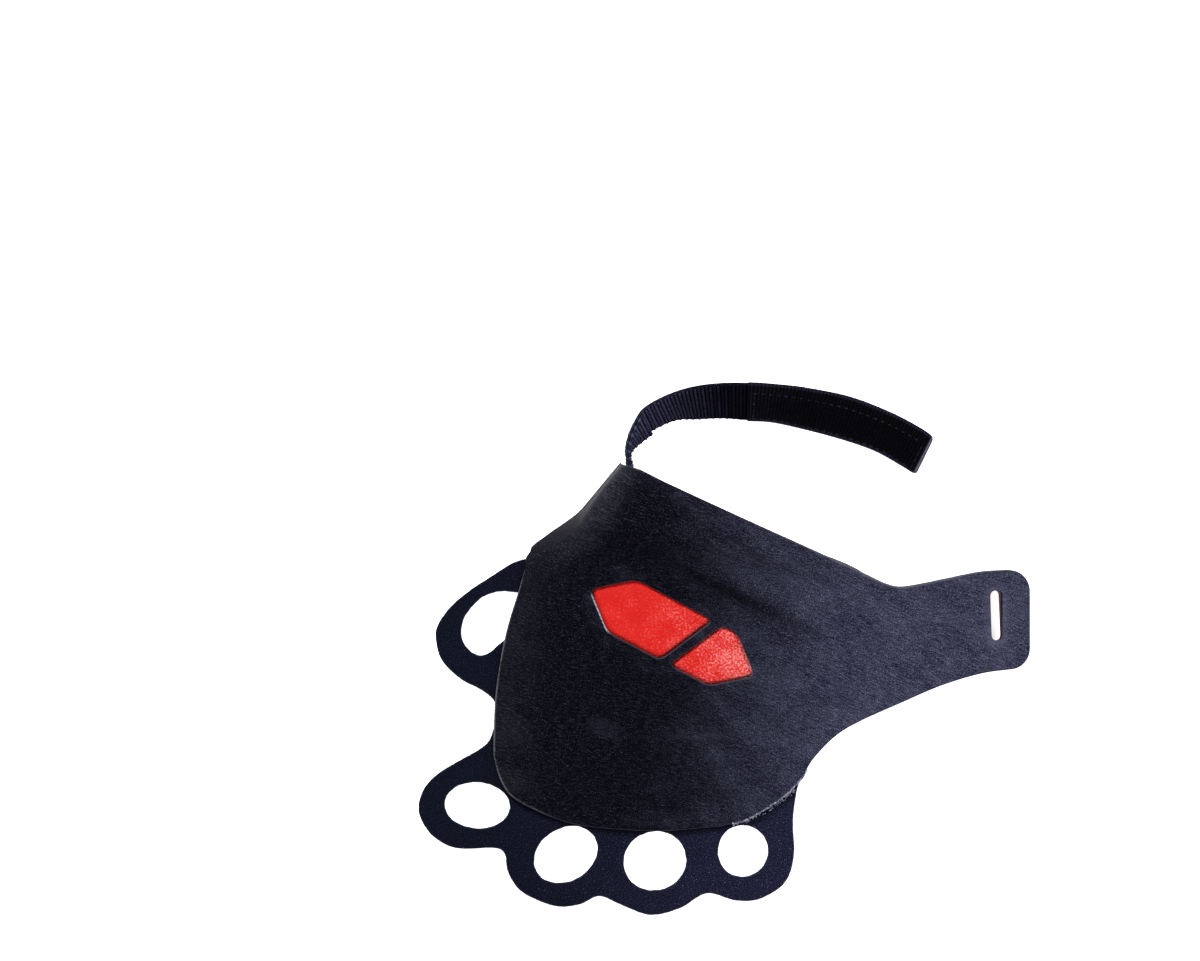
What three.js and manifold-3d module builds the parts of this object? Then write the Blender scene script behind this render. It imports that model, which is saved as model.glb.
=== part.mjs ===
// A crack climbing glove for the left hand, lying open with the back of the hand up, in millimetres.
// +X runs from the thumb loop to the wrist tab, -Y towards the fingers and +Z up. It rests on z = 0,
// and the origin is under the middle of its outline.
import * as THREE from "three";
import { mergeVertices } from "three/addons/utils/BufferGeometryUtils.js";
import Module from "manifold-3d";

const wasm = await Module();
wasm.setup();

// Thickness of each layer, and the space left between two layers.
const RUBBER = 2;
const LINING = 1;
const LOOP_LAYER = 1;
const WEBBING = 1.4;
const HOOK_TAPE = 1.2;
const GAP = 0.3;
const UNDER_RUBBER = LINING + GAP;

// The strap's width, and how far its doubled root and its hook tape differ from it.
const STRAP_WIDTH = 16;
const BACKING_DROP = 0.8;
const PATCH_OVERHANG = 0.3;

// The strap's slot in the tab: rubber first, then the narrower cut in the lining behind it.
const SLOT = { x: 90.3, y: 10.8, length: 16.7, width: 3.4, lean: 2.3 };
const LINING_SLOT = { ...SLOT, x: 89.8, width: 2.5 };

// Two windows in the rubber that show the lining: one long lozenge, parted by a slanted bridge.
const WINDOW = { x: -17.3, y: 5.2, length: 62, width: 20, lean: -28, point: 12, round: 2.5 };
const BRIDGE = { at: 7, width: 3.2, slant: 25 };

// Sections across the glove, from the wrist to the fingers. Each starts at the thumb-side edge
// (x, y) and heads for tabY at x = REACH. It climbs a flank of length climb, at an angle of lean
// degrees, of which the share foot curves up from the ground and the share roll curves over the top.
const REACH = 101.7;
const SECTIONS = [
  { x: -28.2, y: 63.4, tabY: 36, climb: 22.5, lean: 86, foot: 0, roll: 0.24 },
  { x: -33.1, y: 58.4, tabY: 31, climb: 22.5, lean: 86, foot: 0, roll: 0.24 },
  { x: -41.1, y: 48.8, tabY: 26, climb: 22.3, lean: 85, foot: 0, roll: 0.25 },
  { x: -46.1, y: 43.1, tabY: 22, climb: 21.3, lean: 80, foot: 0, roll: 0.3 },
  { x: -51.2, y: 39.3, tabY: 18, climb: 20, lean: 66, foot: 0, roll: 0.42 },
  { x: -57.9, y: 34.9, tabY: 14, climb: 19, lean: 54, foot: 0, roll: 0.5 },
  { x: -64.6, y: 29.6, tabY: 9, climb: 19, lean: 44, foot: 0.05, roll: 0.5 },
  { x: -68.3, y: 19.2, tabY: 2, climb: 20, lean: 35, foot: 0.25, roll: 0.5 },
  { x: -73, y: 3.2, tabY: -10, climb: 20, lean: 25, foot: 0.35, roll: 0.5 },
  { x: -76.2, y: -17.5, tabY: -26, climb: 18, lean: 14, foot: 0.4, roll: 0.5 },
  { x: -76.7, y: -37.5, tabY: -42, climb: 16, lean: 5, foot: 0.4, roll: 0.5 },
  { x: -76.7, y: -52, tabY: -54, climb: 14, lean: 0, foot: 0.4, roll: 0.5 },
  { x: -76.7, y: -92, tabY: -92, climb: 14, lean: 0, foot: 0.4, roll: 0.5 },
];
const CROWN_FALL = 1.7; // the crown drops towards the tab as this power of the way there
const THUMB_SECTION = 5.6; // the section where the free flank ends and the thumb loop begins

// Folds in the back of the hand: each runs from (x, y) to (toX, toY) and rises or sinks by depth.
const FOLDS = [
  { x: -29, y: 33.5, toX: 35, toY: 2.5, depth: -1.3, width: 3.5 },
  { x: -12, y: 33, toX: 36, toY: 12, depth: 0.8, width: 8 },
  { x: -47, y: -24, toX: -32, toY: -29.5, depth: -0.6, width: 3.5 },
  { x: -32, y: -29.5, toX: 19, toY: -28.5, depth: -0.4, width: 3 },
];

// The strap's free stretch, from its root at the panel's corner to its end: the edge that stands
// up (topX, topY) and the edge near the ground (x, y, z).
const STRAP = [
  { topX: -30, topY: 60.7, x: -30.8, y: 61, z: 1 },
  { topX: -32.8, topY: 65.4, x: -32.3, y: 65, z: 1.8 },
  { topX: -31.8, topY: 70.6, x: -29.8, y: 67.9, z: 2.1 },
  { topX: -29.9, topY: 75, x: -26.9, y: 70.3, z: 2.5 },
  { topX: -26.8, topY: 79.5, x: -23.3, y: 72.7, z: 2.6 },
  { topX: -19.8, topY: 83.6, x: -16, y: 75.8, z: 1.2 },
  { topX: -11.1, topY: 86.6, x: -8.8, y: 76.1, z: 0.7 },
  { topX: -1.7, topY: 87.9, x: -0.7, y: 76.4, z: 0.6 },
  { topX: 7.7, topY: 88, x: 7.7, y: 75.8, z: 0.6 },
  { topX: 17, topY: 87.4, x: 15.5, y: 75.4, z: 0.6 },
  { topX: 27.2, topY: 86.1, x: 24.6, y: 73.4, z: 0.6 },
  { topX: 41.6, topY: 83, x: 37.6, y: 69.9, z: 0.6 },
  { topX: 54.9, topY: 77.9, x: 49.7, y: 65.9, z: 0.6 },
  { topX: 64.2, topY: 73, x: 58.5, y: 61.9, z: 0.6 },
  { topX: 69.1, topY: 69.9, x: 64.2, y: 58.5, z: 0.6 },
];
const BACKING_STATION = 0.5; // where the strap's doubled root begins
const NOTCH_STATION = 3.75; // where it ends
const PATCH_STATION = 8; // where the hook tape begins
const TAIL_SECTIONS = [2, 1.6, 1.2]; // where the sewn tail lies inside the flank
const TAIL_LIFT = 0.3; // how far up the flank its low edge lies

// Outlines seen from above. The panel's thumb side and the flank are the sections' own ends, so
// the panel's outline runs clear of them there.
const WRIST_EDGE = [[-45, 66.7], [-34, 61.2], [-28, 59.2], [-21.3, 55.8], [25.3, 34.2], [49, 22.9]];
const TAB_TOP = [[54.5, 20.7], [60, 20.2], [72, 22.5], [84, 25.2], [93.7, 26]];
const TAB_END = { top: 26, bottom: -7.2, corner: 7 };
const TAB_FOOT = [[85.3, -8.5], [72, -12.5], [58.7, -18.2], [45.3, -24.2], [37, -29.2],
  [29.3, -37.2], [25.3, -44.2], [18.7, -50.2], [8.7, -56.5], [-1.3, -59.3]];
const KNUCKLE_EDGE = [[-21.3, -60.8], [-41.3, -59.8], [-54.7, -57.2], [-68.7, -50.8], [-74, -44.8],
  [-76.7, -35.8], [-79, -26]];

const THUMB_LOOP = [[-67, 29.5], [-71.3, 27.8], [-78, 23.5], [-84.7, 19.2], [-91.3, 13.5],
  [-95.4, 7.5], [-96, 2.5], [-94, -4.2], [-88, -10.2], [-81.3, -13.8], [-77, -17.2], [-75.2, -22],
  [-76.7, -26.8], [-78.5, -31.3], [-82, -34.2]];
const INDEX_LOOP = [[-88, -37.5], [-94.7, -41.5], [-99.7, -46.5], [-101.8, -52.8], [-100.3, -58.5],
  [-96, -63.5], [-88.7, -66.8], [-75.7, -66.8], [-72.7, -69.5]];
const FINGER_EDGE = [[-72, -74.8], [-68, -80.8], [-61.3, -84.5], [-54.7, -86.3], [-48, -85.5],
  [-41.5, -82.8], [-34.7, -85.5], [-24.7, -89], [-14.7, -86.8], [-5.7, -81.8], [3.7, -84.2],
  [12, -83.7], [20.3, -78.2], [23.3, -69.2], [23, -57.5], [24.3, -47.5], [26, -42.5]];
const HIDDEN_EDGE = [[24, -36], [16, -38.5], [9, -44], [-1, -47.5], [-21, -49], [-40, -48],
  [-52, -45], [-59, -38], [-60.5, -25], [-58, -10], [-53.5, 5], [-50.5, 18], [-49.5, 27],
  [-52, 31.5]];

// The lining stops short of the flank's top, and further down short of the loop layer.
const LINING_EDGE = [[-27, 57], [-34.5, 46.5], [-38.5, 41], [-42, 36.5], [-46.5, 32], [-48.8, 27]];
const LINING_CLEARANCE = 0.9;

// Lines well outside the glove, which close an outline where the sections make the edge.
const OUTSIDE = { left: -95, right: 110, top: 80 };

// How many straight steps an outline has from one of its points to the next.
const EDGE_STEPS = 3;
const LOOP_STEPS = 2;

const FINGER_HOLES = [
  { x: -82.2, y: -52.5, long: 21.7, short: 15.3, lean: -4 },
  { x: -52.7, y: -68.9, long: 22.4, short: 17.4, lean: 32 },
  { x: -23, y: -71, long: 21, short: 19.5, lean: 20 },
  { x: 6.3, y: -67.7, long: 17.2, short: 16.6, lean: 80 },
];
const THUMB_HOLE = [[-68, 18.3], [-74.7, 18.7], [-81.3, 16.2], [-86.7, 9.5], [-87.2, 3],
  [-84.3, -1.2], [-80.2, -2.5], [-75.5, 0.6], [-70.6, 5.5], [-67.6, 12]];

// A value of a table at a place between its rows, on a smooth curve through them.
function between(table, name, place) {
  const i = Math.min(Math.floor(place), table.length - 2);
  const row = (k) => table[THREE.MathUtils.clamp(k, 0, table.length - 1)][name];
  const [a, b, c, d] = [row(i - 1), row(i), row(i + 1), row(i + 2)];
  const f = place - i;
  return b + 0.5 * f * (c - a + f * (2 * a - 5 * b + 4 * c - d + f * (3 * (b - c) + d - a)));
}

function sectionAt(place) {
  const names = Object.keys(SECTIONS[0]);
  return Object.fromEntries(names.map((name) => [name, between(SECTIONS, name, place)]));
}

// How far a flank has run inwards and risen after a distance along it.
function climbTo(section, distance) {
  const steps = 24;
  const lean = THREE.MathUtils.degToRad(Math.max(section.lean, 0));
  const foot = Math.max(section.foot * section.climb, 0.001);
  const roll = section.roll * section.climb;
  let run = 0;
  let rise = 0;
  for (let k = 0; k < steps; k++) {
    const at = (distance * (k + 0.5)) / steps;
    const share = Math.min(at / foot, (section.climb - at) / roll);
    const angle = lean * THREE.MathUtils.clamp(share, 0, 1);
    run += (Math.cos(angle) * distance) / steps;
    rise += (Math.sin(angle) * distance) / steps;
  }
  return [run, rise];
}

function foldHeight(x, y) {
  let height = 0;
  for (const fold of FOLDS) {
    const along = new THREE.Vector2(fold.toX - fold.x, fold.toY - fold.y);
    const here = new THREE.Vector2(x - fold.x, y - fold.y);
    const share = here.dot(along) / along.lengthSq();
    const aside = here.cross(along) / along.length();
    const fade = Math.sin(Math.PI * THREE.MathUtils.clamp(share, 0, 1)) ** 0.7;
    height += fold.depth * fade * Math.exp(-((aside / fold.width) ** 2));
  }
  return height;
}

// A point on the underside of the glove's layers. Across a section, the column goes from 0 to 1 up
// the flank and from 1 to 2 over the crown to the tab's end, and below 0 it is the flat ground
// beside the glove.
const GROUND_REACH = 40;
function formAt(place, column) {
  const section = sectionAt(place);
  const heading = new THREE.Vector2(REACH - section.x, section.tabY - section.y);
  const [width, top] = climbTo(section, section.climb);
  const crown = heading.length() - width;
  heading.normalize();
  let run = column * GROUND_REACH;
  let rise = 0;
  if (column > 1) {
    run = width + (column - 1) * crown;
    rise = top * Math.max(0, 1 - (column - 1) ** CROWN_FALL);
  } else if (column > 0) {
    [run, rise] = climbTo(section, column * section.climb);
  }
  const x = section.x + run * heading.x;
  const y = section.y + run * heading.y;
  if (column > 1) rise = Math.max(0, rise + foldHeight(x, y));
  return new THREE.Vector3(x, y, rise);
}

// The same point, raised along the surface's normal.
function raised(place, column, height) {
  const step = 0.01;
  const point = formAt(place, column);
  const across = formAt(place, column + step).sub(point);
  const back = formAt(Math.min(place + step, SECTIONS.length - 1), column);
  const along = formAt(Math.max(place - step, 0), column).sub(back);
  return point.addScaledVector(across.cross(along).normalize(), height);
}

function spaced(from, to, count) {
  return Array.from({ length: count + 1 }, (_, k) => from + ((to - from) * k) / count);
}

// A closed mesh from rings of points, each down one face of a sheet and back along the other. Both
// faces are split along the same diagonal, so that sheets lying together stay clear of each other.
function skin(rings) {
  const around = rings[0].length;
  const half = around / 2;
  const points = rings.flat();
  const faces = [];
  for (let r = 0; r < rings.length - 1; r++) {
    for (let k = 0; k < around; k++) {
      const a = r * around + k;
      const b = r * around + ((k + 1) % around);
      const [c, d] = [b + around, a + around];
      faces.push(...(k < half ? [a, b, c, a, c, d] : [a, b, d, b, c, d]));
    }
  }
  const last = (rings.length - 1) * around;
  for (let k = 0; k < half - 1; k++) {
    const [a, b, c, d] = [k, k + 1, around - 2 - k, around - 1 - k];
    faces.push(a, c, b, a, d, c);
    faces.push(last + a, last + b, last + c, last + a, last + c, last + d);
  }
  const geometry = new THREE.BufferGeometry();
  geometry.setAttribute("position", new THREE.Float32BufferAttribute(points.flatMap((p) => p.toArray()), 3));
  geometry.setIndex(faces);
  return geometry;
}

function solidOf(geometry) {
  const bare = geometry.clone();
  bare.deleteAttribute("normal");
  bare.deleteAttribute("uv");
  const merged = mergeVertices(bare, 1e-4);
  const mesh = new wasm.Mesh({
    numProp: 3,
    vertProperties: new Float32Array(merged.attributes.position.array),
    triVerts: new Uint32Array(merged.index.array),
  });
  return new wasm.Manifold(mesh);
}

function geometryOf(solid) {
  const mesh = solid.getMesh();
  const geometry = new THREE.BufferGeometry();
  geometry.setAttribute("position", new THREE.BufferAttribute(mesh.vertProperties, 3));
  geometry.setIndex(new THREE.BufferAttribute(mesh.triVerts, 1));
  geometry.computeVertexNormals();
  return geometry;
}

// A layer that follows the glove's form from height low to height high above its underside.
function layer(places, columns, low, high) {
  const rings = places.map((place) => {
    const upper = columns.map((column) => raised(place, column, high));
    const lower = columns.map((column) => raised(place, column, low));
    return [...lower, ...upper.reverse()];
  });
  return solidOf(skin(rings));
}

// A closed path's points, without those that fall on the one before.
function distinct(points) {
  return points.filter((point, i) => point.distanceTo(points.at(i - 1)) > 0.05);
}

// An upright prism of a plan outline, tall enough to trim any layer.
const TRIM_HEIGHT = 80;
function prism(outline, detail) {
  const shape = new THREE.Shape(distinct(outline.getPoints(detail)));
  shape.holes = (outline.holes ?? []).map((hole) => new THREE.Path(distinct(hole.getPoints(detail))));
  const geometry = new THREE.ExtrudeGeometry(shape, { depth: TRIM_HEIGHT, bevelEnabled: false });
  geometry.translate(0, 0, -TRIM_HEIGHT / 2);
  return solidOf(geometry);
}

function vectors(points) {
  return points.map(([x, y]) => new THREE.Vector2(x, y));
}

// A closed outline round the origin, turned by lean degrees and moved to (x, y).
function placed(outline, { x, y, lean }) {
  const turn = THREE.MathUtils.degToRad(lean);
  const middle = new THREE.Vector2(x, y);
  const points = outline.map((p) => p.clone().rotateAround(new THREE.Vector2(), turn).add(middle));
  return new THREE.Shape(points);
}

function slotShape(slot) {
  const round = slot.width / 2;
  const straight = slot.length / 2 - round;
  const outline = new THREE.Path();
  outline.absarc(0, straight, round, 0, Math.PI);
  outline.absarc(0, -straight, round, Math.PI, 2 * Math.PI);
  return placed(outline.getPoints(5), slot);
}

function holeShape(hole) {
  const outline = new THREE.Path();
  outline.absellipse(0, 0, hole.long / 2, hole.short / 2, 0, 2 * Math.PI);
  return placed(outline.getPoints(14).slice(0, -1), hole);
}

// A polygon's points with each corner rounded.
function rounded(corners, radius) {
  return corners.flatMap((corner, i) => {
    const before = corners.at(i - 1).clone().sub(corner);
    const after = corners[(i + 1) % corners.length].clone().sub(corner);
    const trim = Math.min(radius, before.length() / 2.2, after.length() / 2.2);
    const start = corner.clone().addScaledVector(before.normalize(), trim);
    const end = corner.clone().addScaledVector(after.normalize(), trim);
    return new THREE.QuadraticBezierCurve(start, corner, end).getPoints(3);
  });
}

// The two windows: the lozenge on either side of its bridge.
function windowShapes() {
  const half = WINDOW.width / 2;
  const tip = WINDOW.length / 2;
  const shoulder = tip - WINDOW.point;
  const slant = half * Math.tan(THREE.MathUtils.degToRad(BRIDGE.slant));
  const end = (side) => [[side * shoulder, -half], [side * tip, 0], [side * shoulder, half]];
  const bridgeEdge = (side) => {
    const x = BRIDGE.at + (side * BRIDGE.width) / 2;
    return [[x + slant, half], [x - slant, -half]];
  };
  return [-1, 1].map((side) => {
    const corners = vectors([...end(side), ...bridgeEdge(side)]);
    return placed(rounded(corners, WINDOW.round), WINDOW);
  });
}

function panelShape() {
  const shape = new THREE.Shape();
  const [start, ...wrist] = vectors(WRIST_EDGE);
  shape.moveTo(start.x, start.y);
  wrist.forEach((point) => shape.lineTo(point.x, point.y));
  shape.splineThru(vectors(TAB_TOP));
  const { top, bottom, corner } = TAB_END;
  shape.absarc(REACH - corner, top - corner, corner, Math.PI / 2, 0, true);
  shape.absarc(REACH - corner, bottom + corner, corner, 0, -Math.PI / 2, true);
  shape.splineThru(vectors(TAB_FOOT));
  shape.splineThru(vectors(KNUCKLE_EDGE));
  shape.lineTo(OUTSIDE.left, -10);
  shape.lineTo(OUTSIDE.left, start.y);
  return shape;
}

function loopsShape() {
  const shape = new THREE.Shape();
  const [start, ...thumb] = vectors(THUMB_LOOP);
  shape.moveTo(start.x, start.y);
  shape.splineThru(thumb);
  shape.splineThru(vectors(INDEX_LOOP));
  shape.splineThru(vectors(FINGER_EDGE));
  shape.splineThru(vectors(HIDDEN_EDGE));
  const thumbHole = new THREE.Path();
  const [first, ...rest] = vectors(THUMB_HOLE);
  thumbHole.moveTo(first.x, first.y);
  thumbHole.splineThru([...rest, first]);
  shape.holes.push(thumbHole, ...FINGER_HOLES.map(holeShape));
  return shape;
}

// A line of points moved to its left by a distance.
function beside(points, distance) {
  return points.map((point, i) => {
    const along = (points[i + 1] ?? point).clone().sub(points[i - 1] ?? point).setLength(distance);
    return new THREE.Vector2(point.x - along.y, point.y + along.x);
  });
}

// The lining's own edge on the thumb and finger sides: it is trimmed by the panel's outline elsewhere.
function liningShape() {
  const shape = new THREE.Shape();
  const [start, ...ridge] = vectors(LINING_EDGE);
  const inner = beside(vectors(HIDDEN_EDGE.slice(0, -2)).reverse(), LINING_CLEARANCE);
  shape.moveTo(start.x, OUTSIDE.top);
  shape.lineTo(start.x, start.y);
  shape.splineThru(ridge);
  shape.splineThru(inner);
  shape.lineTo(OUTSIDE.right, inner.at(-1).y);
  shape.lineTo(OUTSIDE.right, OUTSIDE.top);
  return shape;
}

// Every layer shares one grid, so that no two of them cross: the flank's columns, then the crown's.
const PLACE_STEP = 0.4;
const FLANK_COLUMNS = spaced(0, 1, 8);
const CROWN_COLUMNS = spaced(1, 2.02, 22).slice(1);
const GLOVE_COLUMNS = [...FLANK_COLUMNS, ...CROWN_COLUMNS];
const LOOP_COLUMNS = [-1, -0.5, ...FLANK_COLUMNS, ...CROWN_COLUMNS.slice(0, 14)];

// A layer's blank runs from the first section, or the thumb's, to one past the layer's lowest edge.
const PANEL_FOOT = 11.6;
const LINING_FOOT = 11.2;
const LOOPS_FOOT = 12;

function placesBetween(from, to) {
  return spaced(from, to, Math.round((to - from) / PLACE_STEP));
}

function handPanel() {
  const blank = layer(placesBetween(0, PANEL_FOOT), GLOVE_COLUMNS, UNDER_RUBBER, UNDER_RUBBER + RUBBER);
  let panel = blank.intersect(prism(panelShape(), EDGE_STEPS));
  for (const shape of [slotShape(SLOT), ...windowShapes()]) {
    panel = panel.subtract(prism(shape, EDGE_STEPS));
  }
  return geometryOf(panel);
}

function fingerLoops() {
  const blank = layer(placesBetween(THUMB_SECTION, LOOPS_FOOT), LOOP_COLUMNS, 0, LOOP_LAYER);
  return geometryOf(blank.intersect(prism(loopsShape(), LOOP_STEPS)));
}

function palmLining() {
  const blank = layer(placesBetween(0, LINING_FOOT), GLOVE_COLUMNS, 0, LINING);
  const underPanel = blank.intersect(prism(panelShape(), EDGE_STEPS));
  const trimmed = underPanel.intersect(prism(liningShape(), LOOP_STEPS));
  return geometryOf(trimmed.subtract(prism(slotShape(LINING_SLOT), EDGE_STEPS)));
}

// A strap's two long edges at a place along its free stretch. The width fixes how high the top is.
function strapEdges(place) {
  const names = ["topX", "topY", "x", "y", "z"];
  const [topX, topY, x, y, z] = names.map((name) => between(STRAP, name, place));
  const low = new THREE.Vector3(x, y, z);
  const lying = Math.hypot(topX - x, topY - y);
  const height = Math.sqrt(Math.max(STRAP_WIDTH ** 2 - lying ** 2, 0));
  return { low, top: new THREE.Vector3(topX, topY, z + height) };
}

// The same edges all along a stretch, at the same stations for every layer of the strap.
function freeEdges(from, to) {
  return spaced(from, to, (to - from) * 4).map(strapEdges);
}

// The strap's edges inside the flank, against the rubber. They stand as steeply as its lower half.
function tailEdges(place) {
  const depth = UNDER_RUBBER - GAP - WEBBING / 2;
  const low = raised(place, TAIL_LIFT / sectionAt(place).climb, depth);
  const top = raised(place, 0.5, depth).sub(low).setLength(STRAP_WIDTH).add(low);
  return { low, top };
}

// A band along pairs of edges, from height back to height front above their plane, and from below
// its low edge to above its top edge by the two overhangs.
function band(edges, back, front, lowOverhang, topOverhang) {
  const rings = edges.map(({ low, top }, i) => {
    const before = edges[Math.max(i - 1, 0)];
    const after = edges[Math.min(i + 1, edges.length - 1)];
    const along = after.low.clone().add(after.top).sub(before.low).sub(before.top);
    const across = top.clone().sub(low).normalize();
    const facing = along.cross(across).normalize();
    const bottom = low.clone().addScaledVector(across, -lowOverhang);
    const crest = top.clone().addScaledVector(across, topOverhang);
    const corner = (edge, height) => edge.clone().addScaledVector(facing, height);
    return [corner(bottom, back), corner(crest, back), corner(crest, front), corner(bottom, front)];
  });
  return skin(rings);
}

function wristStrap() {
  const tail = TAIL_SECTIONS.map(tailEdges);
  return band([...tail, ...freeEdges(0, STRAP.length - 1)], -WEBBING / 2, WEBBING / 2, 0, 0);
}

function strapBacking() {
  const back = WEBBING / 2 + GAP;
  const edges = freeEdges(BACKING_STATION, NOTCH_STATION);
  return band(edges, back, back + WEBBING - GAP, BACKING_DROP, -BACKING_DROP);
}

function hookPatch() {
  const front = WEBBING / 2 + GAP;
  const edges = freeEdges(PATCH_STATION, STRAP.length - 1);
  return band(edges, front, front + HOOK_TAPE, PATCH_OVERHANG, PATCH_OVERHANG);
}

const glove = new THREE.Group();

function add(name, geometry, color, roughness) {
  const material = new THREE.MeshStandardMaterial({ color, roughness, metalness: 0 });
  const mesh = new THREE.Mesh(geometry, material);
  mesh.name = name;
  glove.add(mesh);
}

add("hand_panel", handPanel(), 0x14151f, 0.85);
add("finger_loops", fingerLoops(), 0x1b1e30, 0.9);
add("palm_lining", palmLining(), 0xe02a25, 0.95);
add("wrist_strap", wristStrap(), 0x0c0c13, 0.8);
add("strap_backing", strapBacking(), 0x0c0c13, 0.8);
add("hook_patch", hookPatch(), 0x08080d, 0.85);

export default glove;
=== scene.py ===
import bpy
import numpy as np
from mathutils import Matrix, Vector
from mathutils.geometry import delaunay_2d_cdt
from mathutils.kdtree import KDTree


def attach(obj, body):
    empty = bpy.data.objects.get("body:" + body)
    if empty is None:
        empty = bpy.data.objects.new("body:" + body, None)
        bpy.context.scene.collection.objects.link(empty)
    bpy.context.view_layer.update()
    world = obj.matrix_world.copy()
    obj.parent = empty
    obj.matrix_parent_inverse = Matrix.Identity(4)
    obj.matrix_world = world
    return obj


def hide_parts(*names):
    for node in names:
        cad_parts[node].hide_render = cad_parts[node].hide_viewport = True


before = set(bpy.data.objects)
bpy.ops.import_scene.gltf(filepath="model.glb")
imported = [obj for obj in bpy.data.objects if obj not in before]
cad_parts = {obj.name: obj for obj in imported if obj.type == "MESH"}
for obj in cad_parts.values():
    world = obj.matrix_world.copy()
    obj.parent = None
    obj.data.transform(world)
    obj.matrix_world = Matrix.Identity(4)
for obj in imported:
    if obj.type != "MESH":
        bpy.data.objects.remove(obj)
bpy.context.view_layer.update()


# The red lining
# A sheet of brushed red microfibre, 1 mm thick, glued under the rubber and cut out with it. It
# shows in the panel's windows and in the slot's wall, and is the skin that lies on the hand.

MM = 0.001
LINING = 1 * MM
RUBBER_LOW = 1.3 * MM  # the rubber lies on the lining, over a thin film of glue
RUBBER_HIGH = 3.3 * MM

# Sections across the glove, from the wrist to the fingers. Each starts at the thumb-side edge
# (x, y) and heads for tab_y at x = REACH. It climbs a flank of length climb, at an angle of lean
# degrees, of which the share foot curves up from the ground and the share roll curves over the top.
REACH = 101.7 * MM
X, Y, TAB_Y, CLIMB, LEAN, FOOT, ROLL = range(7)
SECTIONS = np.array([
    (-28.2, 63.4, 36, 22.5, 86, 0, 0.24),
    (-33.1, 58.4, 31, 22.5, 86, 0, 0.24),
    (-41.1, 48.8, 26, 22.3, 85, 0, 0.25),
    (-46.1, 43.1, 22, 21.3, 80, 0, 0.3),
    (-51.2, 39.3, 18, 20, 66, 0, 0.42),
    (-57.9, 34.9, 14, 19, 54, 0, 0.5),
    (-64.6, 29.6, 9, 19, 44, 0.05, 0.5),
    (-68.3, 19.2, 2, 20, 35, 0.25, 0.5),
    (-73, 3.2, -10, 20, 25, 0.35, 0.5),
    (-76.2, -17.5, -26, 18, 14, 0.4, 0.5),
    (-76.7, -37.5, -42, 16, 5, 0.4, 0.5),
    (-76.7, -52, -54, 14, 0, 0.4, 0.5),
    (-76.7, -92, -92, 14, 0, 0.4, 0.5),
]) * (MM, MM, MM, MM, np.pi / 180, 1, 1)
CROWN_FALL = 1.7  # the crown drops towards the tab as this power of the way there

# Folds in the back of the hand, each with where it starts and ends, the depth by which it rises or
# sinks, and the width of each of its sides.
FOLDS = np.array([
    (-29, 33.5, 35, 2.5, -1.3, 3.5),
    (-12, 33, 36, 12, 0.8, 8),
    (-47, -24, -32, -29.5, -0.6, 3.5),
    (-32, -29.5, 19, -28.5, -0.4, 3),
]) * MM


def between(table, place):
    """Rows of a table at places between its rows, on smooth curves through them."""
    place = np.asarray(place, float)
    row = np.clip(np.floor(place).astype(int), 0, len(table) - 2)
    f = (place - row)[:, None]
    a, b, c, d = (table[np.clip(row + k, 0, len(table) - 1)] for k in (-1, 0, 1, 2))
    return b + 0.5 * f * (c - a + f * (2 * a - 5 * b + 4 * c - d + f * (3 * (b - c) + d - a)))


def row_at(place):
    """A section between the table's rows: its values, its start, its heading and its length."""
    section = between(SECTIONS, place)
    start = section[:, [X, Y]]
    heading = np.column_stack([REACH - section[:, X], section[:, TAB_Y] - section[:, Y]])
    length = np.linalg.norm(heading, axis=1)
    return section, start, heading / length[:, None], length


def climb_to(section, distance):
    """How far a flank has run inwards and risen after a distance along it."""
    steps = 24
    at = distance[:, None] * (np.arange(steps) + 0.5) / steps
    climb = section[:, CLIMB, None]
    foot = np.maximum(section[:, FOOT, None] * climb, 0.001 * MM)
    share = np.minimum(at / foot, (climb - at) / (section[:, ROLL, None] * climb))
    angle = np.maximum(section[:, LEAN, None], 0) * np.clip(share, 0, 1)
    return np.cos(angle).mean(1) * distance, np.sin(angle).mean(1) * distance


def beside(plan, fold):
    """How strong a fold is at points, as it fades to its ends, and how far they are beside it."""
    x, y, to_x, to_y = fold[:4]
    along = np.array([to_x - x, to_y - y])
    here = plan - (x, y)
    share = np.clip(here @ along / (along @ along), 0, 1)
    aside = (here[:, 0] * along[1] - here[:, 1] * along[0]) / np.linalg.norm(along)
    return np.sin(np.pi * share) ** 0.7, aside


def fold_height(plan):
    height = np.zeros(len(plan))
    for fold in FOLDS:
        strength, aside = beside(plan, fold)
        *_, depth, width = fold
        height += depth * strength * np.exp(-((aside / width) ** 2))
    return height


def form(place, distance):
    """The underside of the glove's layers at a distance along a section."""
    section, start, heading, length = row_at(place)
    climb = section[:, CLIMB]
    width, top = climb_to(section, climb)
    run, rise = climb_to(section, np.clip(distance, 0, climb))
    past = np.maximum(distance - climb, 0)
    plan = start + (run + past + np.minimum(distance, 0))[:, None] * heading
    fall = np.minimum(past / (length - width), 1) ** CROWN_FALL
    crown = np.maximum(top * (1 - fall) + fold_height(plan), 0)
    return np.column_stack([plan, np.where(past > 0, crown, rise)])


def unit(vectors):
    return vectors / np.linalg.norm(vectors, axis=-1, keepdims=True)


def facing(place, distance):
    """The way the sheet faces there."""
    step, reach = 0.01, 0.05 * MM
    behind = form(np.minimum(place + step, len(SECTIONS) - 1), distance)
    along = form(np.maximum(place - step, 0), distance) - behind
    across = form(place, distance + reach) - form(place, distance - reach)
    return unit(np.cross(across, along))


def raised(place, distance, height):
    """Points at a height above the underside."""
    return form(place, distance) + np.reshape(height, (-1, 1)) * facing(place, distance)


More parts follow.
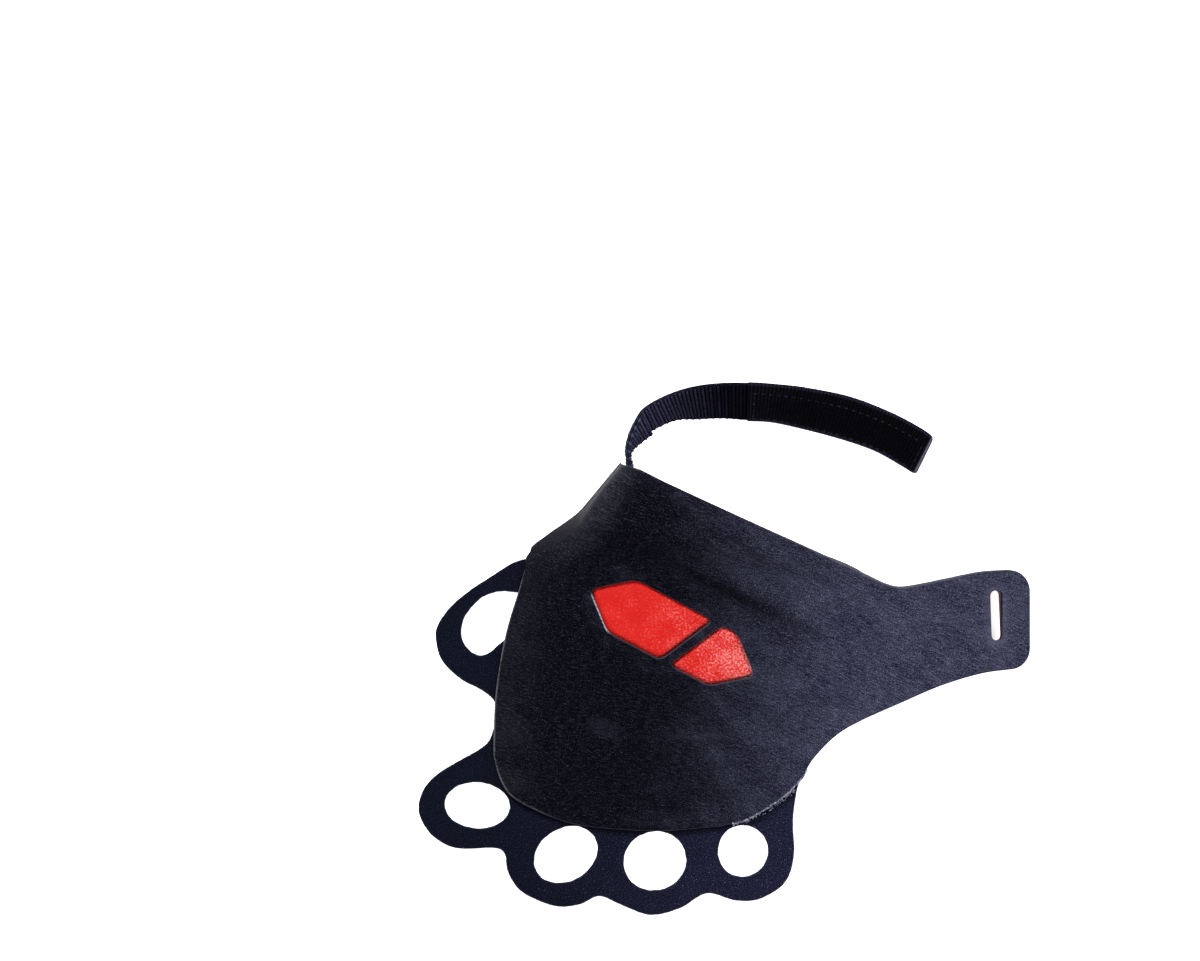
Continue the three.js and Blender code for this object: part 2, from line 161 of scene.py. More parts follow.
def halved(true_at, low, high, times):
    """Up to where a test holds between low and high, by halving the way a number of times."""
    for _ in range(times):
        middle = (low + high) / 2
        holds = true_at(middle)
        low = np.where(holds, middle, low)
        high = np.where(holds, high, middle)
    return low


def place_in(flat):
    """The place and the distance along its section of points on the unrolled sheet."""
    def short_of(place):
        _, start, heading, _ = row_at(place)
        away = flat - start
        return heading[:, 0] * away[:, 1] <= heading[:, 1] * away[:, 0]

    place = halved(short_of, np.zeros(len(flat)), np.full(len(flat), len(SECTIONS) - 1.0), 36)
    _, start, heading, _ = row_at(place)
    return place, ((flat - start) * heading).sum(1)


def lengths(points):
    """How far along a line each of its points is."""
    return np.r_[0, np.cumsum(np.linalg.norm(np.diff(points, axis=0), axis=1))]


def filled_in(at, known, rows):
    """Rows at places between the known ones, in straight steps."""
    return np.column_stack([np.interp(at, known, column) for column in np.transpose(rows)])


def evenly(points, spacing, closed=True):
    """A line with its points the same distance apart."""
    path = np.vstack([points, points[:1]]) if closed else points
    length = lengths(path)
    at = np.linspace(0, length[-1], max(16, round(length[-1] / spacing)), endpoint=not closed)
    return filled_in(at, length, path)


def unrolled(plan, height, closed=True):
    """Where a line seen from above lies on the unrolled sheet, on its face at a height."""
    plan = evenly(plan, 0.6 * MM, closed)
    flat = plan.copy()
    for _ in range(40):
        flat = flat + plan - raised(*place_in(flat), height)[:, :2]
    return flat


def curve(*points):
    """A smooth plan line through points given in millimetres."""
    return between(np.array(points) * MM, np.linspace(0, len(points) - 1, 10 * len(points)))


def line(*points):
    """Straight plan lines through points given in millimetres."""
    count = len(points)
    return filled_in(np.linspace(0, count - 1, 12 * count), range(count), points) * MM


def arc(x, y, radius, start, end):
    angle = np.radians(np.linspace(start, end, 16))
    return np.column_stack([x + radius * np.cos(angle), y + radius * np.sin(angle)]) * MM


def stretch(loop, start, end):
    """The part of a closed loop from its point nearest start to its point nearest end."""
    first, last = (np.argmin(np.linalg.norm(loop - point, axis=1)) for point in (start, end))
    return np.roll(loop, -first, axis=0)[: (last - first) % len(loop) + 1]


WRIST_EDGE = line((-45, 66.7), (-34, 61.2), (-28, 59.2), (-21.3, 55.8), (25.3, 34.2), (49, 22.9))
TAB_TOP = curve((49, 22.9), (54.5, 20.7), (60, 20.2), (72, 22.5), (84, 25.2), (93.7, 26))
TAB_FOOT = curve((94.7, -7.2), (85.3, -8.5), (72, -12.5), (58.7, -18.2), (45.3, -24.2), (37, -29.2),
                 (29.3, -37.2), (25.3, -44.2), (18.7, -50.2), (8.7, -56.5), (-1.3, -59.3))
KNUCKLE_EDGE = curve((-1.3, -59.3), (-21.3, -60.8), (-41.3, -59.8), (-54.7, -57.2), (-68.7, -50.8),
                     (-74, -44.8), (-76.7, -35.8), (-79, -26))
FLANK_REACH = 30 * MM


def panel_loop():
    """The panel's outline on the unrolled sheet, clockwise from its wrist corner."""
    steps = 90
    distance = np.linspace(0, FLANK_REACH, steps)

    def past_wrist(place):
        x, y, _ = raised(place, distance, RUBBER_HIGH).T
        return y > np.interp(x, WRIST_EDGE[:, 0], WRIST_EDGE[:, 1])

    cut = halved(past_wrist, np.zeros(steps), np.full(steps, 3.0), 30)
    _, start, heading, _ = row_at(cut)
    corner = start + distance[:, None] * heading
    corner_end = raised(cut[-1:], distance[-1:], RUBBER_HIGH)[0, 0]
    plan = np.vstack([
        WRIST_EDGE[WRIST_EDGE[:, 0] > corner_end + MM], TAB_TOP[1:],
        arc(94.7, 19, 7, 90, 0)[1:], arc(94.7, -0.2, 7, 0, -90), TAB_FOOT[1:], KNUCKLE_EDGE[1:],
    ])
    rest = unrolled(plan, RUBBER_HIGH, closed=False)
    place, distance = place_in(rest)
    kept = distance > 0
    thumb_side = row_at(np.linspace(place[kept][-1], cut[0], 260))[1]
    return np.vstack([corner, rest[kept], thumb_side[:-1]])


PANEL_LOOP = panel_loop()
HIDDEN = ((24, -36), (16, -38.5), (9, -44), (-1, -47.5), (-21, -49), (-40, -48), (-52, -45),
          (-59, -38), (-60.5, -25), (-58, -10), (-53.5, 5), (-50.5, 18))  # under the rubber
HIDDEN_EDGE = curve(*HIDDEN)
LINING_EDGE = curve((-50.5, 18), (-48.8, 27), (-46.5, 32), (-42, 36.5), (-38.5, 41), (-34.5, 46.5), (-27, 57))
SLOT_X, SLOT_Y, SLOT_LENGTH, SLOT_WIDTH, SLOT_LEAN = 90.3, 10.8, 16.7, 3.4, 2.3


def slot_loop(x, width):
    """The strap's slot, as a closed plan line with round ends."""
    half = SLOT_LENGTH / 2 - width / 2
    ends = np.vstack([arc(0, half, width / 2, 0, 180), arc(0, -half, width / 2, 180, 360)])
    return turned(ends, SLOT_LEAN) + np.array([x, SLOT_Y]) * MM


def turned(points, degrees):
    c, s = np.cos(np.radians(degrees)), np.sin(np.radians(degrees))
    return points @ np.array([[c, s], [-s, c]])


WINDOW_LEAN = -28
WINDOW_CENTRE = np.array([-17.3, 5.2]) * MM


def rounded(corners, radius):
    """A polygon's points with each corner rounded."""
    points = []
    for i, corner in enumerate(corners):
        before, after = corners[i - 1] - corner, corners[(i + 1) % len(corners)] - corner
        trim = min(radius, np.linalg.norm(before) / 2.2, np.linalg.norm(after) / 2.2)
        start, end = corner + trim * unit(before), corner + trim * unit(after)
        for t in np.linspace(0, 1, 9):
            points.append((1 - t) ** 2 * start + 2 * t * (1 - t) * corner + t**2 * end)
    return np.array(points)


def window(side):
    """One of the two windows: a long lozenge, parted by a slanted bridge."""
    tip, half, shoulder = 31, 10, 19
    slant = half * np.tan(np.radians(25))
    bridge, half_bridge = 7, 1.6
    x = bridge + side * half_bridge
    corners = [(side * shoulder, -half), (side * tip, 0), (side * shoulder, half),
               (x + slant, half), (x - slant, -half)]
    return turned(rounded(np.array(corners, float), radius=2.5), WINDOW_LEAN) * MM + WINDOW_CENTRE


def signed_area(loop):
    x, y = loop.T
    return 0.5 * (x * np.roll(y, -1) - np.roll(x, -1) * y).sum()


def inward(loop):
    """The way to the left of a loop at each of its points."""
    along = unit(np.roll(loop, -1, axis=0) - np.roll(loop, 1, axis=0))
    return np.column_stack([-along[:, 1], along[:, 0]])


def inside(points, loops):
    """Which points lie inside an odd number of loops."""
    odd = np.zeros(len(points), bool)
    x, y = points.T
    for loop in loops:
        for (x0, y0), (x1, y1) in zip(loop, np.roll(loop, -1, axis=0)):
            if y0 != y1:
                odd ^= ((y0 > y) != (y1 > y)) & (x < x0 + (y - y0) * (x1 - x0) / (y1 - y0))
    return odd


def nearest(points, targets):
    """How far each point is from the nearest of the targets."""
    tree = KDTree(len(targets))
    for i, target in enumerate(targets):
        tree.insert((*target, 0), i)
    tree.balance()
    return np.array([tree.find((*point, 0))[2] for point in points])


def store(mesh, label, values):
    """Keeps a number or a vector at each of a mesh's points."""
    kind, field = ("FLOAT_VECTOR", "vector") if np.ndim(values) == 2 else ("FLOAT", "value")
    mesh.attributes.new(label, kind, "POINT").data.foreach_set(field, np.ravel(values).astype(np.float32))


def mesh_of(name, points, faces, coordinates, **values):
    """A smooth mesh, with its flat coordinates as a UV map, and values at its points."""
    mesh = bpy.data.meshes.new(name)
    mesh.from_pydata(points.tolist(), [], faces)
    layer = mesh.uv_layers.new(name="flat")
    corners = np.zeros(len(mesh.loops), int)
    mesh.loops.foreach_get("vertex_index", corners)
    layer.data.foreach_set("uv", coordinates[corners].astype(np.float32).ravel())
    for label, value in values.items():
        store(mesh, label, value)
    mesh.shade_smooth()
    mesh.update()
    return mesh


def plan_of(mesh):
    """Where a mesh's points lie, seen from above."""
    places = np.zeros(3 * len(mesh.vertices), np.float32)
    mesh.vertices.foreach_get("co", places)
    return places.reshape(-1, 3)[:, :2]


def crease_at(plan):
    """How much painted shade the long crease gets, from 0 to 1: it is darkest in the fold, and the painted
    shade reaches the side towards the windows."""
    strength, aside = beside(plan, FOLDS[0])
    below = aside / MM
    shade = np.exp(-((below / 2.2) ** 2)) + 0.5 * np.exp(-(((below - 5) / 4) ** 2))
    return strength * np.clip(shade, 0, 1)


def ridge_at(place, distance):
    """How near a point is to the ridge where the flank rolls over into the crown, from 0 to 1."""
    section = between(SECTIONS, place)
    away = (distance - section[:, CLIMB] * (1 - section[:, ROLL] / 2)) / (4 * MM)
    return np.exp(-away**2) * np.clip((section[:, LEAN] - 0.6) * 1.3, 0, 1)


def quads(ring, next_ring):
    """Faces between two closed rings of points."""
    return np.column_stack([ring, next_ring, np.roll(next_ring, -1), np.roll(ring, -1)]).tolist()


def cut_sheet(name, loops, low, high, bevel, spacing, swell=None):
    """A sheet between two heights, cut along loops on the unrolled sheet: its outline, then its
    holes. The cut edges are rounded by bevel, and swell adds to the upper face's height."""
    loops = [evenly(loop, 0.7 * spacing) for loop in loops]
    loops = [loop if (signed_area(loop) > 0) == (i == 0) else loop[::-1] for i, loop in enumerate(loops)]
    insets = [loop + bevel * inward(loop) for loop in loops]
    lowest, highest = insets[0].min(0), insets[0].max(0)
    triangle = 0.866  # the height of a triangle of even sides
    rows = np.arange(lowest[1], highest[1], spacing * triangle)
    columns = np.arange(lowest[0], highest[0], spacing)
    grid = np.array([(x + 0.5 * spacing * (r % 2), y) for r, y in enumerate(rows) for x in columns])
    grid = grid[inside(grid, insets)]
    grid = grid[nearest(grid, np.vstack(insets)) > 0.6 * spacing]
    flat = np.vstack([*insets, grid])
    edges, first = [], 0
    for loop in insets:
        ring = first + np.arange(len(loop))
        edges += zip(ring.tolist(), np.roll(ring, -1).tolist())
        first += len(loop)
    _, _, triangles, _, _, _ = delaunay_2d_cdt([Vector(p) for p in flat / MM], edges, [], 1, 1e-5)
    triangles = np.array(triangles)
    triangles = triangles[inside(flat[triangles].mean(1), insets)]
    count = len(flat)
    faces = triangles.tolist() + (triangles[:, ::-1] + count).tolist()
    edge = nearest(flat, np.vstack(loops))
    upper_face = np.full(count, high) + (swell(flat) if swell else 0)
    flats, coordinates = [flat, flat], [flat, flat]
    heights, edges_away = [upper_face, np.full(count, low)], [edge, edge]
    first, added = 0, 2 * count
    for loop in loops:
        ring = first + np.arange(len(loop))
        rings = [ring]
        out = -inward(loop)
        for share in (1 / 3, 2 / 3, 1, -1, -2 / 3, -1 / 3):
            angle = abs(share) * np.pi / 2
            inset = bevel * (1 - np.sin(angle))
            drop = bevel * (1 - np.cos(angle))
            flats.append(loop - inset * out)
            height = high - drop if share > 0 else low + drop
            heights.append(np.full(len(loop), height))
            edges_away.append(np.full(len(loop), inset if share > 0 else 0))
            coordinates.append(loop + (high - height) * out)
            rings.append(added + np.arange(len(loop)))
            added += len(loop)
        rings.append(ring + count)
        for upper, lower in zip(rings, rings[1:]):
            faces += quads(upper, lower)
        first += len(loop)
    place, distance = place_in(np.vstack(flats))
    points = raised(place, distance, np.concatenate(heights))
    plan = points[:, :2]
    return mesh_of(name, points, faces, np.vstack(coordinates), edge=np.concatenate(edges_away),
                   ridge=ridge_at(place, distance), fold=fold_height(plan), crease=crease_at(plan))


def placed(name, data):
    """A new object in the scene."""
    made = bpy.data.objects.new(name, data)
    bpy.context.scene.collection.objects.link(made)
    return made


def piece(name, mesh, *finish):
    for material in finish:
        mesh.materials.append(material)
    made = placed(name, mesh)
    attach(made, "root")
    return made


class Wire:
    """A node's output, which can be used in sums."""

    def __init__(self, nodes, socket):
        self.nodes = nodes
        self.socket = socket

    def maths(self, operation, *values):
        sockets = dict(zip(("Value", "Value_001"), (self, *values)))
        return self.nodes.add("ShaderNodeMath", sockets, operation=operation)

    def wave(self, pitch):
        """A wave along a distance: 1 at each whole pitch, and 0 half way between."""
        return (self.maths("DIVIDE", pitch) * (2 * np.pi)).maths("COSINE") * 0.5 + 0.5

    def __add__(self, other):
        return self.maths("ADD", other)

    __radd__ = __add__

    def __mul__(self, other):
        return self.maths("MULTIPLY", other)

    __rmul__ = __mul__

    def __sub__(self, other):
        return self.maths("SUBTRACT", other)

    def __rsub__(self, other):
        return (self * -1) + other

    def __pow__(self, other):
        return self.maths("POWER", other)


class Nodes:
    """The nodes of a material or of a shape."""

    def __init__(self, tree, owner=None):
        self.tree = tree
        self.owner = owner
        tree.nodes.clear()

    def add(self, kind, sockets=None, output=0, **settings):
        """A node of a kind, with its sockets' values or wires, and with its settings."""
        node = self.tree.nodes.new(kind)
        for name, value in settings.items():
            setattr(node, name, value)
        found = {socket.identifier: socket for socket in node.inputs}
        for name, value in (sockets or {}).items():
            if isinstance(value, Wire):
                self.tree.links.new(value.socket, found[name])
            else:
                found[name].default_value = value
        return Wire(self, node.outputs[output]) if node.outputs else None

    def flat(self):
        """Where the surface lies on its flat cut, in metres."""
        return self.add("ShaderNodeUVMap", uv_map="flat")

    def value(self, name):
        """A value that the mesh has at its points, such as its distance from a cut edge."""
        return self.add("ShaderNodeAttribute", output=2, attribute_name=name)

    def stored(self, name, kind="FLOAT"):
        """The same for a shape."""
        return self.add("GeometryNodeInputNamedAttribute", {"Name": name}, data_type=kind)

    def place(self):
        """Where the surface lies in the shared frame, in metres."""
        return self.add("ShaderNodeTexCoord", output=3)

    def split(self, vector):
        """A vector's three numbers."""
        node = self.add("ShaderNodeSeparateXYZ", {"Vector": vector}).socket.node
        return [Wire(self, socket) for socket in node.outputs]

    def noise(self, vector, size, detail=2.0, lean=0.0, roughness=0.5):
        """Cloudy noise from 0 to 1 with grains of a size along and across, in millimetres."""
        along, across = size if isinstance(size, tuple) else (size, size)
        scale = (along * MM, across * MM, along * MM)
        turned_to = {"Vector": vector, "Rotation": (0, 0, np.radians(lean)), "Scale": scale}
        scaled = self.add("ShaderNodeMapping", turned_to, vector_type="TEXTURE")
        sockets = {"Vector": scaled, "Scale": 1.0, "Detail": detail, "Roughness": roughness}
        return self.add("ShaderNodeTexNoise", sockets)

    def ramp(self, value, low, high, to_low=0.0, to_high=1.0):
        """A value's soft step from to_low at low to to_high at high."""
        sockets = {"Value": value, "From Min": low, "From Max": high, "To Min": to_low, "To Max": to_high}
        return self.add("ShaderNodeMapRange", sockets, interpolation_type="SMOOTHSTEP")

    def reach(self, value, low, high):
        """A length's soft step from 0 at low to 1 at high, in millimetres."""
        return self.ramp(value, low * MM, high * MM)

    def mix(self, share, first, second):
        """A colour between two."""
        first, second = ((*c, 1) if isinstance(c, tuple) else c for c in (first, second))
        sockets = {"Factor_Float": share, "A_Color": first, "B_Color": second}
        return self.add("ShaderNodeMix", sockets, "Result", data_type="RGBA")

    def coats(self, colour, *coats):
        """A colour with coats over it, each with the share that it covers."""
        for share, coat in coats:
            colour = self.mix(share, colour, coat)
        return colour

    def surface(self, colour, roughness, relief, depth, specular=0.5, **fixed):
        """Ends a material: its colour, its roughness, and its relief in shares of a depth."""
        bump = self.add("ShaderNodeBump", {"Strength": 1.0, "Distance": depth, "Height": relief})
        sockets = {"Base Color": colour, "Roughness": roughness, "Normal": bump}
        sockets["Specular IOR Level"] = specular
        sockets.update({name.replace("_", " "): value for name, value in fixed.items()})
        shader = self.add("ShaderNodeBsdfPrincipled", sockets)
        self.add("ShaderNodeOutputMaterial", {"Surface": shader})
        return self.owner


def material(name):
    """The nodes of a new material."""
    made = bpy.data.materials.new(name)
    made.use_nodes = True
    return Nodes(made.node_tree, made)


def suede():
    nodes = material("red_suede")
    flat = nodes.flat()
    across, _, _ = nodes.split(nodes.place())
    pile = nodes.noise(flat, 0.7, detail=3.0, roughness=0.65)
    clouds = nodes.noise(flat, 7, detail=3.0)
    worn = nodes.ramp(across, -35 * MM, 30 * MM, 0.0, 0.55)
    fleck = nodes.ramp(pile + 0.35 * clouds + 0.3 * worn, 0.68, 0.98)
    colour = nodes.coats(
        nodes.mix(clouds, (0.36, 0.007, 0.005), (0.47, 0.012, 0.009)),
        (fleck * (0.2 + 1.6 * worn), (0.62, 0.25, 0.24)),
        # Painted shade: the lining is darker within 5 mm of its cut edges, under the rubber's edge and in the
        # slot.
        (nodes.reach(nodes.value("edge"), 5, 1.5) * 0.9, (0.035, 0.006, 0.005)))
    return nodes.surface(colour, 0.95, pile + 0.5 * clouds, 0.12 * MM, 0.1)


EDGE_SHY = 0.6 * MM  # the lining stops this far short of the rubber's cut edge
INNER_SHY = (-0.5 * MM, 0.7 * MM)  # and this far short of the loops' layer
inner_edge = unrolled(np.vstack([HIDDEN_EDGE[:-1] + INNER_SHY, LINING_EDGE]), LINING, closed=False)
panel_edge = evenly(PANEL_LOOP, 0.6 * MM)
shy_edge = panel_edge - EDGE_SHY * inward(panel_edge)
lining_outline = np.vstack([stretch(shy_edge, inner_edge[-1], inner_edge[0]), inner_edge])
LINING_SLOT_X, LINING_SLOT_WIDTH = 90.2, 3.1
lining_loops = [lining_outline, unrolled(slot_loop(LINING_SLOT_X, LINING_SLOT_WIDTH), LINING)]
window_loops = [unrolled(window(side), RUBBER_HIGH) for side in (-1, 1)]
WINDOW_SWELL = 1.4 * MM


def window_swell(flat):
    """How far the lining is pressed up into the windows."""
    share = np.clip((nearest(flat, np.vstack(window_loops)) - 0.2 * MM) / (1.1 * MM), 0, 1)
    return WINDOW_SWELL * inside(flat, window_loops) * share * (2 - share)


lining_sheet = cut_sheet("palm_lining_suede", lining_loops, 0, LINING, bevel=0.15 * MM,
                         spacing=0.9 * MM, swell=window_swell)
lining = piece("palm_lining_suede", lining_sheet, suede())
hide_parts("palm_lining")


# The finger and thumb loops
# One sheet of thin navy microfibre, 1 mm thick, die-cut with a hole for each finger and the
# thumb. It is glued under the rubber's thumb side and knuckle edge.

LOOP_LAYER = 1 * MM
THUMB_LOOP = curve((-67, 29.5), (-71.3, 27.8), (-78, 23.5), (-84.7, 19.2), (-91.3, 13.5), (-95.4, 7.5),
                   (-96, 2.5), (-94, -4.2), (-88, -10.2), (-81.3, -13.8), (-77, -17.2), (-75.2, -22),
                   (-76.7, -26.8), (-78.5, -31.3), (-82, -34.2))
INDEX_LOOP = curve((-82, -34.2), (-88, -37.5), (-94.7, -41.5), (-99.7, -46.5), (-101.8, -52.8),
                   (-100.3, -58.5), (-96, -63.5), (-88.7, -66.8), (-75.7, -66.8), (-72.7, -69.5))
FINGER_EDGE = curve((-72.7, -69.5), (-72, -74.8), (-68, -80.8), (-61.3, -84.5), (-54.7, -86.3), (-48, -85.5),
                    (-41.5, -82.8), (-34.7, -85.5), (-24.7, -89), (-14.7, -86.8), (-5.7, -81.8), (3.7, -84.2),
                    (12, -83.7), (20.3, -78.2), (23.3, -69.2), (23, -57.5), (24.3, -47.5), (26, -42.5))
INNER_EDGE = curve((26, -42.5), *HIDDEN, (-49.5, 27), (-52, 31.5))
THUMB_HOLE = curve((-68, 18.3), (-74.7, 18.7), (-81.3, 16.2), (-86.7, 9.5), (-87.2, 3), (-84.3, -1.2),
                   (-80.2, -2.5), (-75.5, 0.6), (-70.6, 5.5), (-67.6, 12), (-68, 18.3))
FINGER_HOLES = (
    (-82.2, -52.5, 21.7, 15.3, -4),
    (-52.7, -68.9, 22.4, 17.4, 32),
    (-23, -71, 21, 19.5, 20),
    (6.3, -67.7, 17.2, 16.6, 80),
)


def finger_hole(x, y, long, short, lean):
    oval = arc(0, 0, 1, 0, 360 * 15 / 16) * (long / 2, short / 2)
    return turned(between(np.vstack([oval, oval[:1]]), np.linspace(0, 16, 96)), lean) + np.array([x, y]) * MM


def frayed(loop, depth, seed):
    """A cut line that wavers a little, as soft cloth does under a die."""
    draw = np.random.default_rng(seed)
    loop = evenly(loop, 0.5 * MM)
    turn = np.linspace(0, 2 * np.pi, len(loop), endpoint=False)
    length = len(loop) * 0.5
    waves = draw.integers(3, max(6, int(length / 2.2)), 26)
    wave = sum(np.sin(k * turn + draw.uniform(0, 6.28)) * draw.uniform(0.3, 1) / (1 + k * 4 / length)
               for k in waves)
    return loop + (depth * wave / 3)[:, None] * inward(loop)


def microfibre():
    nodes = material("navy_microfibre")
    flat = nodes.flat()
    across, _, _ = nodes.split(nodes.place())
    grain = nodes.noise(flat, 0.42, detail=3.0, roughness=0.75)
    clouds = nodes.noise(flat, 9, detail=4.0, roughness=0.6)
    lint = nodes.ramp(nodes.noise(flat, 0.5, detail=1.0), 0.68, 0.78)
    # Lighter towards the right, with dust and lint.
    to_the_right = nodes.reach(across + clouds * (70 * MM), -45, 65)
    light = nodes.mix(to_the_right, (0.0072, 0.0088, 0.020), (0.024, 0.0245, 0.056))
    colour = nodes.coats(
        nodes.mix(to_the_right, (0.0004, 0.0007, 0.0030), (0.0016, 0.0018, 0.0070)),
        (nodes.ramp(grain, 0.44, 0.66), light),
        (lint * (0.2 + 0.75 * to_the_right), (0.12, 0.13, 0.20)),
        # A painted shadow within 1.3 mm of the panel's seen edge.
        (nodes.reach(nodes.value("panel"), 1.3, 0.2) * 0.85, (0.0015, 0.0015, 0.004)),
        (nodes.reach(nodes.value("edge"), 0.45, 0.05) * 0.3, (0.06, 0.065, 0.11)))
    return nodes.surface(colour, 0.92, grain, 0.06 * MM, 0.04, Sheen_Weight=0.02, Sheen_Roughness=0.4)


OUTER_FRAY, HOLE_FRAY = 0.06 * MM, 0.1 * MM
loop_plans = [np.vstack([THUMB_LOOP, INDEX_LOOP[1:], FINGER_EDGE[1:], INNER_EDGE[1:]]), THUMB_HOLE]
loop_plans += [finger_hole(*hole) for hole in FINGER_HOLES]
loops_cut = [frayed(unrolled(plan, LOOP_LAYER), HOLE_FRAY if seed else OUTER_FRAY, seed)
             for seed, plan in enumerate(loop_plans)]
loops_sheet = cut_sheet("finger_loops_microfibre", loops_cut, 0, LOOP_LAYER, bevel=0.2 * MM, spacing=MM)
# How far each point of the loops is from the panel's seen edge, for the painted shadow beside it.
seen_edge = evenly(raised(*place_in(PANEL_LOOP), RUBBER_HIGH)[:, :2], 0.5 * MM)
store(loops_sheet, "panel", nearest(plan_of(loops_sheet), seen_edge))
loops = piece("finger_loops_microfibre", loops_sheet, microfibre())
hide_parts("finger_loops")


# The wrist strap
# A 16 mm polyester webbing, woven with a smooth rib and a beaded rib by turns. Its root is sewn
# inside the panel's corner, where it stands on edge, and from there it leans over and curves away.

STRAP_WIDTH = 16 * MM
WEBBING = 1.4 * MM
RIB_PITCH = 2.45 * MM
TOP_X, TOP_Y, LOW_X, LOW_Y, LOW_Z = range(5)
STRAP = np.array([
    (-31.65, 60.45, -32.2, 60.4, 1),
    (-32.7, 65.2, -32.1, 64.9, 1.8),
    (-31.8, 70.6, -29.8, 67.9, 2.1),
    (-29.9, 75, -26.9, 70.3, 2.5),
    (-26.8, 79.5, -23.3, 72.7, 2.6),
    (-19.8, 83.6, -16, 75.8, 1.2),
    (-11.1, 86.6, -8.8, 76.1, 0.7),
    (-1.7, 87.9, -0.7, 76.4, 0.6),
    (7.7, 88, 7.7, 75.8, 0.6),
    (17, 87.4, 15.5, 75.4, 0.6),
    (27.2, 86.1, 24.6, 73.4, 0.6),
    (41.6, 83, 37.6, 69.9, 0.6),
    (54.9, 77.9, 49.7, 65.9, 0.6),
    (64.2, 73, 58.5, 61.1, 0.6),
    (69.1, 69.7, 64.0, 57.7, 0.6),
]) * MM
NOTCH_STATION = 3.75  # the doubled root ends here
PATCH_STATION = 8  # and the hook tape begins here
TAIL_SECTIONS = np.array([2, 1.8, 1.6, 1.4, 1.2, 1.05, 0.95])


def strap_edges(start):
    """The strap's low and top edge from a station to its end, four points to a table row."""
    rows = between(STRAP, np.arange(start, len(STRAP) - 1 + 0.01, 0.25))
    low = rows[:, [LOW_X, LOW_Y, LOW_Z]]
    lying = np.linalg.norm(rows[:, [TOP_X, TOP_Y]] - low[:, :2], axis=1)
    stand = np.sqrt(np.maximum(STRAP_WIDTH**2 - lying**2, 0))
    return low, np.column_stack([rows[:, [TOP_X, TOP_Y]], low[:, 2] + stand])


def tail_edges():
    """The same edges inside the flank, against the rubber."""
    gap = 0.3 * MM
    count = len(TAIL_SECTIONS)
    depth = np.full(count, RUBBER_LOW - gap - WEBBING / 2)
    low = raised(TAIL_SECTIONS, np.full(count, gap), depth)
    half_way = between(SECTIONS, TAIL_SECTIONS)[:, CLIMB] / 2
    return low, low + STRAP_WIDTH * unit(raised(TAIL_SECTIONS, half_way, depth) - low)


def band_frames(edges, at):
    """Where a band lies at lengths along its middle line: its low edge, and the ways up its face,
    along it and out of its front."""
    length = lengths(sum(edges) / 2)
    place = np.interp(at, length, np.arange(len(length)))
    low, top = (between(edge, place) for edge in edges)
    along = unit(np.gradient((low + top) / 2, axis=0))
    up = unit(top - low)
    return low, up, along, unit(np.cross(along, up))


def band_length(edges):
    return np.linalg.norm(np.diff(sum(edges) / 2, axis=0), axis=1).sum()


def ribbon(name, edges, span, spacing, heights, overhang, corner, end_corner):
    """A closed band with its back and front at two heights, which overhangs its edges. It covers a
    span of lengths. Its edges are rounded by corner, and its free end's corners by end_corner."""
    wide, bend = 15, 5  # points across each face, and round each edge
    start, length = span
    at = np.linspace(start, length, round((length - start) / spacing) + 1)
    low, up, _, out = band_frames(edges, at)
    first, last = -overhang[0], STRAP_WIDTH + overhang[1]
    turn = np.linspace(-np.pi / 2, np.pi / 2, bend + 2)[1:-1]
    face = np.linspace(first + corner, last - corner, wide)
    side = np.concatenate([face, last - corner + corner * np.cos(turn), face[::-1],
                           first + corner - corner * np.cos(turn)])
    depth = np.concatenate([np.ones(wide), -np.sin(turn), -np.ones(wide), np.sin(turn)])
    middle, half = (first + last) / 2, (last - first) / 2
    past = np.maximum(end_corner - (length - at), 0)
    pinch = 1 - (end_corner - np.sqrt(np.maximum(end_corner**2 - past**2, 0))) / half
    across = middle + (side - middle) * pinch[:, None]
    back, front = heights
    height = np.broadcast_to((back + front) / 2 + (front - back) / 2 * depth, across.shape)
    points = low[:, None] + across[..., None] * up[:, None] + height[..., None] * out[:, None]
    rows, around = height.shape
    ring = np.arange(around)
    faces = []
    for r in range(rows - 1):
        faces += quads(r * around + ring, (r + 1) * around + ring)
    upper, top_bend = ring[:wide], ring[wide:wide + bend]
    lower, low_bend = ring[wide + bend:-bend][::-1], ring[-bend:]
    caps = [[upper[k], upper[k + 1], lower[k + 1], lower[k]] for k in range(wide - 1)]
    caps += [[upper[-1], *top_bend, lower[-1]], [lower[0], *low_bend, upper[0]]]
    faces += [[int(v) for v in cap] for cap in caps]
    faces += [[int(v) + (rows - 1) * around for v in cap[::-1]] for cap in caps]
    flat = np.column_stack([np.repeat(at, around), across.ravel()])
    edge = np.minimum(np.minimum(across - first, last - across), (length - at)[:, None])
    return mesh_of(name, points.reshape(-1, 3), faces, flat, edge=np.maximum(edge, 0).ravel(),
                   side=np.tile(depth, rows), flat_at=np.column_stack([flat, np.zeros(len(flat))]))


def shape_tree(name, inputs):
    """The nodes of a new shape, and its named inputs."""
    tree = bpy.data.node_groups.new(name, "GeometryNodeTree")
    nodes = Nodes(tree)
    tree.interface.new_socket("Geometry", in_out="INPUT", socket_type="NodeSocketGeometry")
    for label in inputs:
        kind = "NodeSocketInt" if label == "Seed" else "NodeSocketFloat"
        tree.interface.new_socket(label, in_out="INPUT", socket_type=kind)
    tree.interface.new_socket("Geometry", in_out="OUTPUT", socket_type="NodeSocketGeometry")
    start = tree.nodes.new("NodeGroupInput")
    return nodes, {socket.name: Wire(nodes, socket) for socket in start.outputs if socket.name}


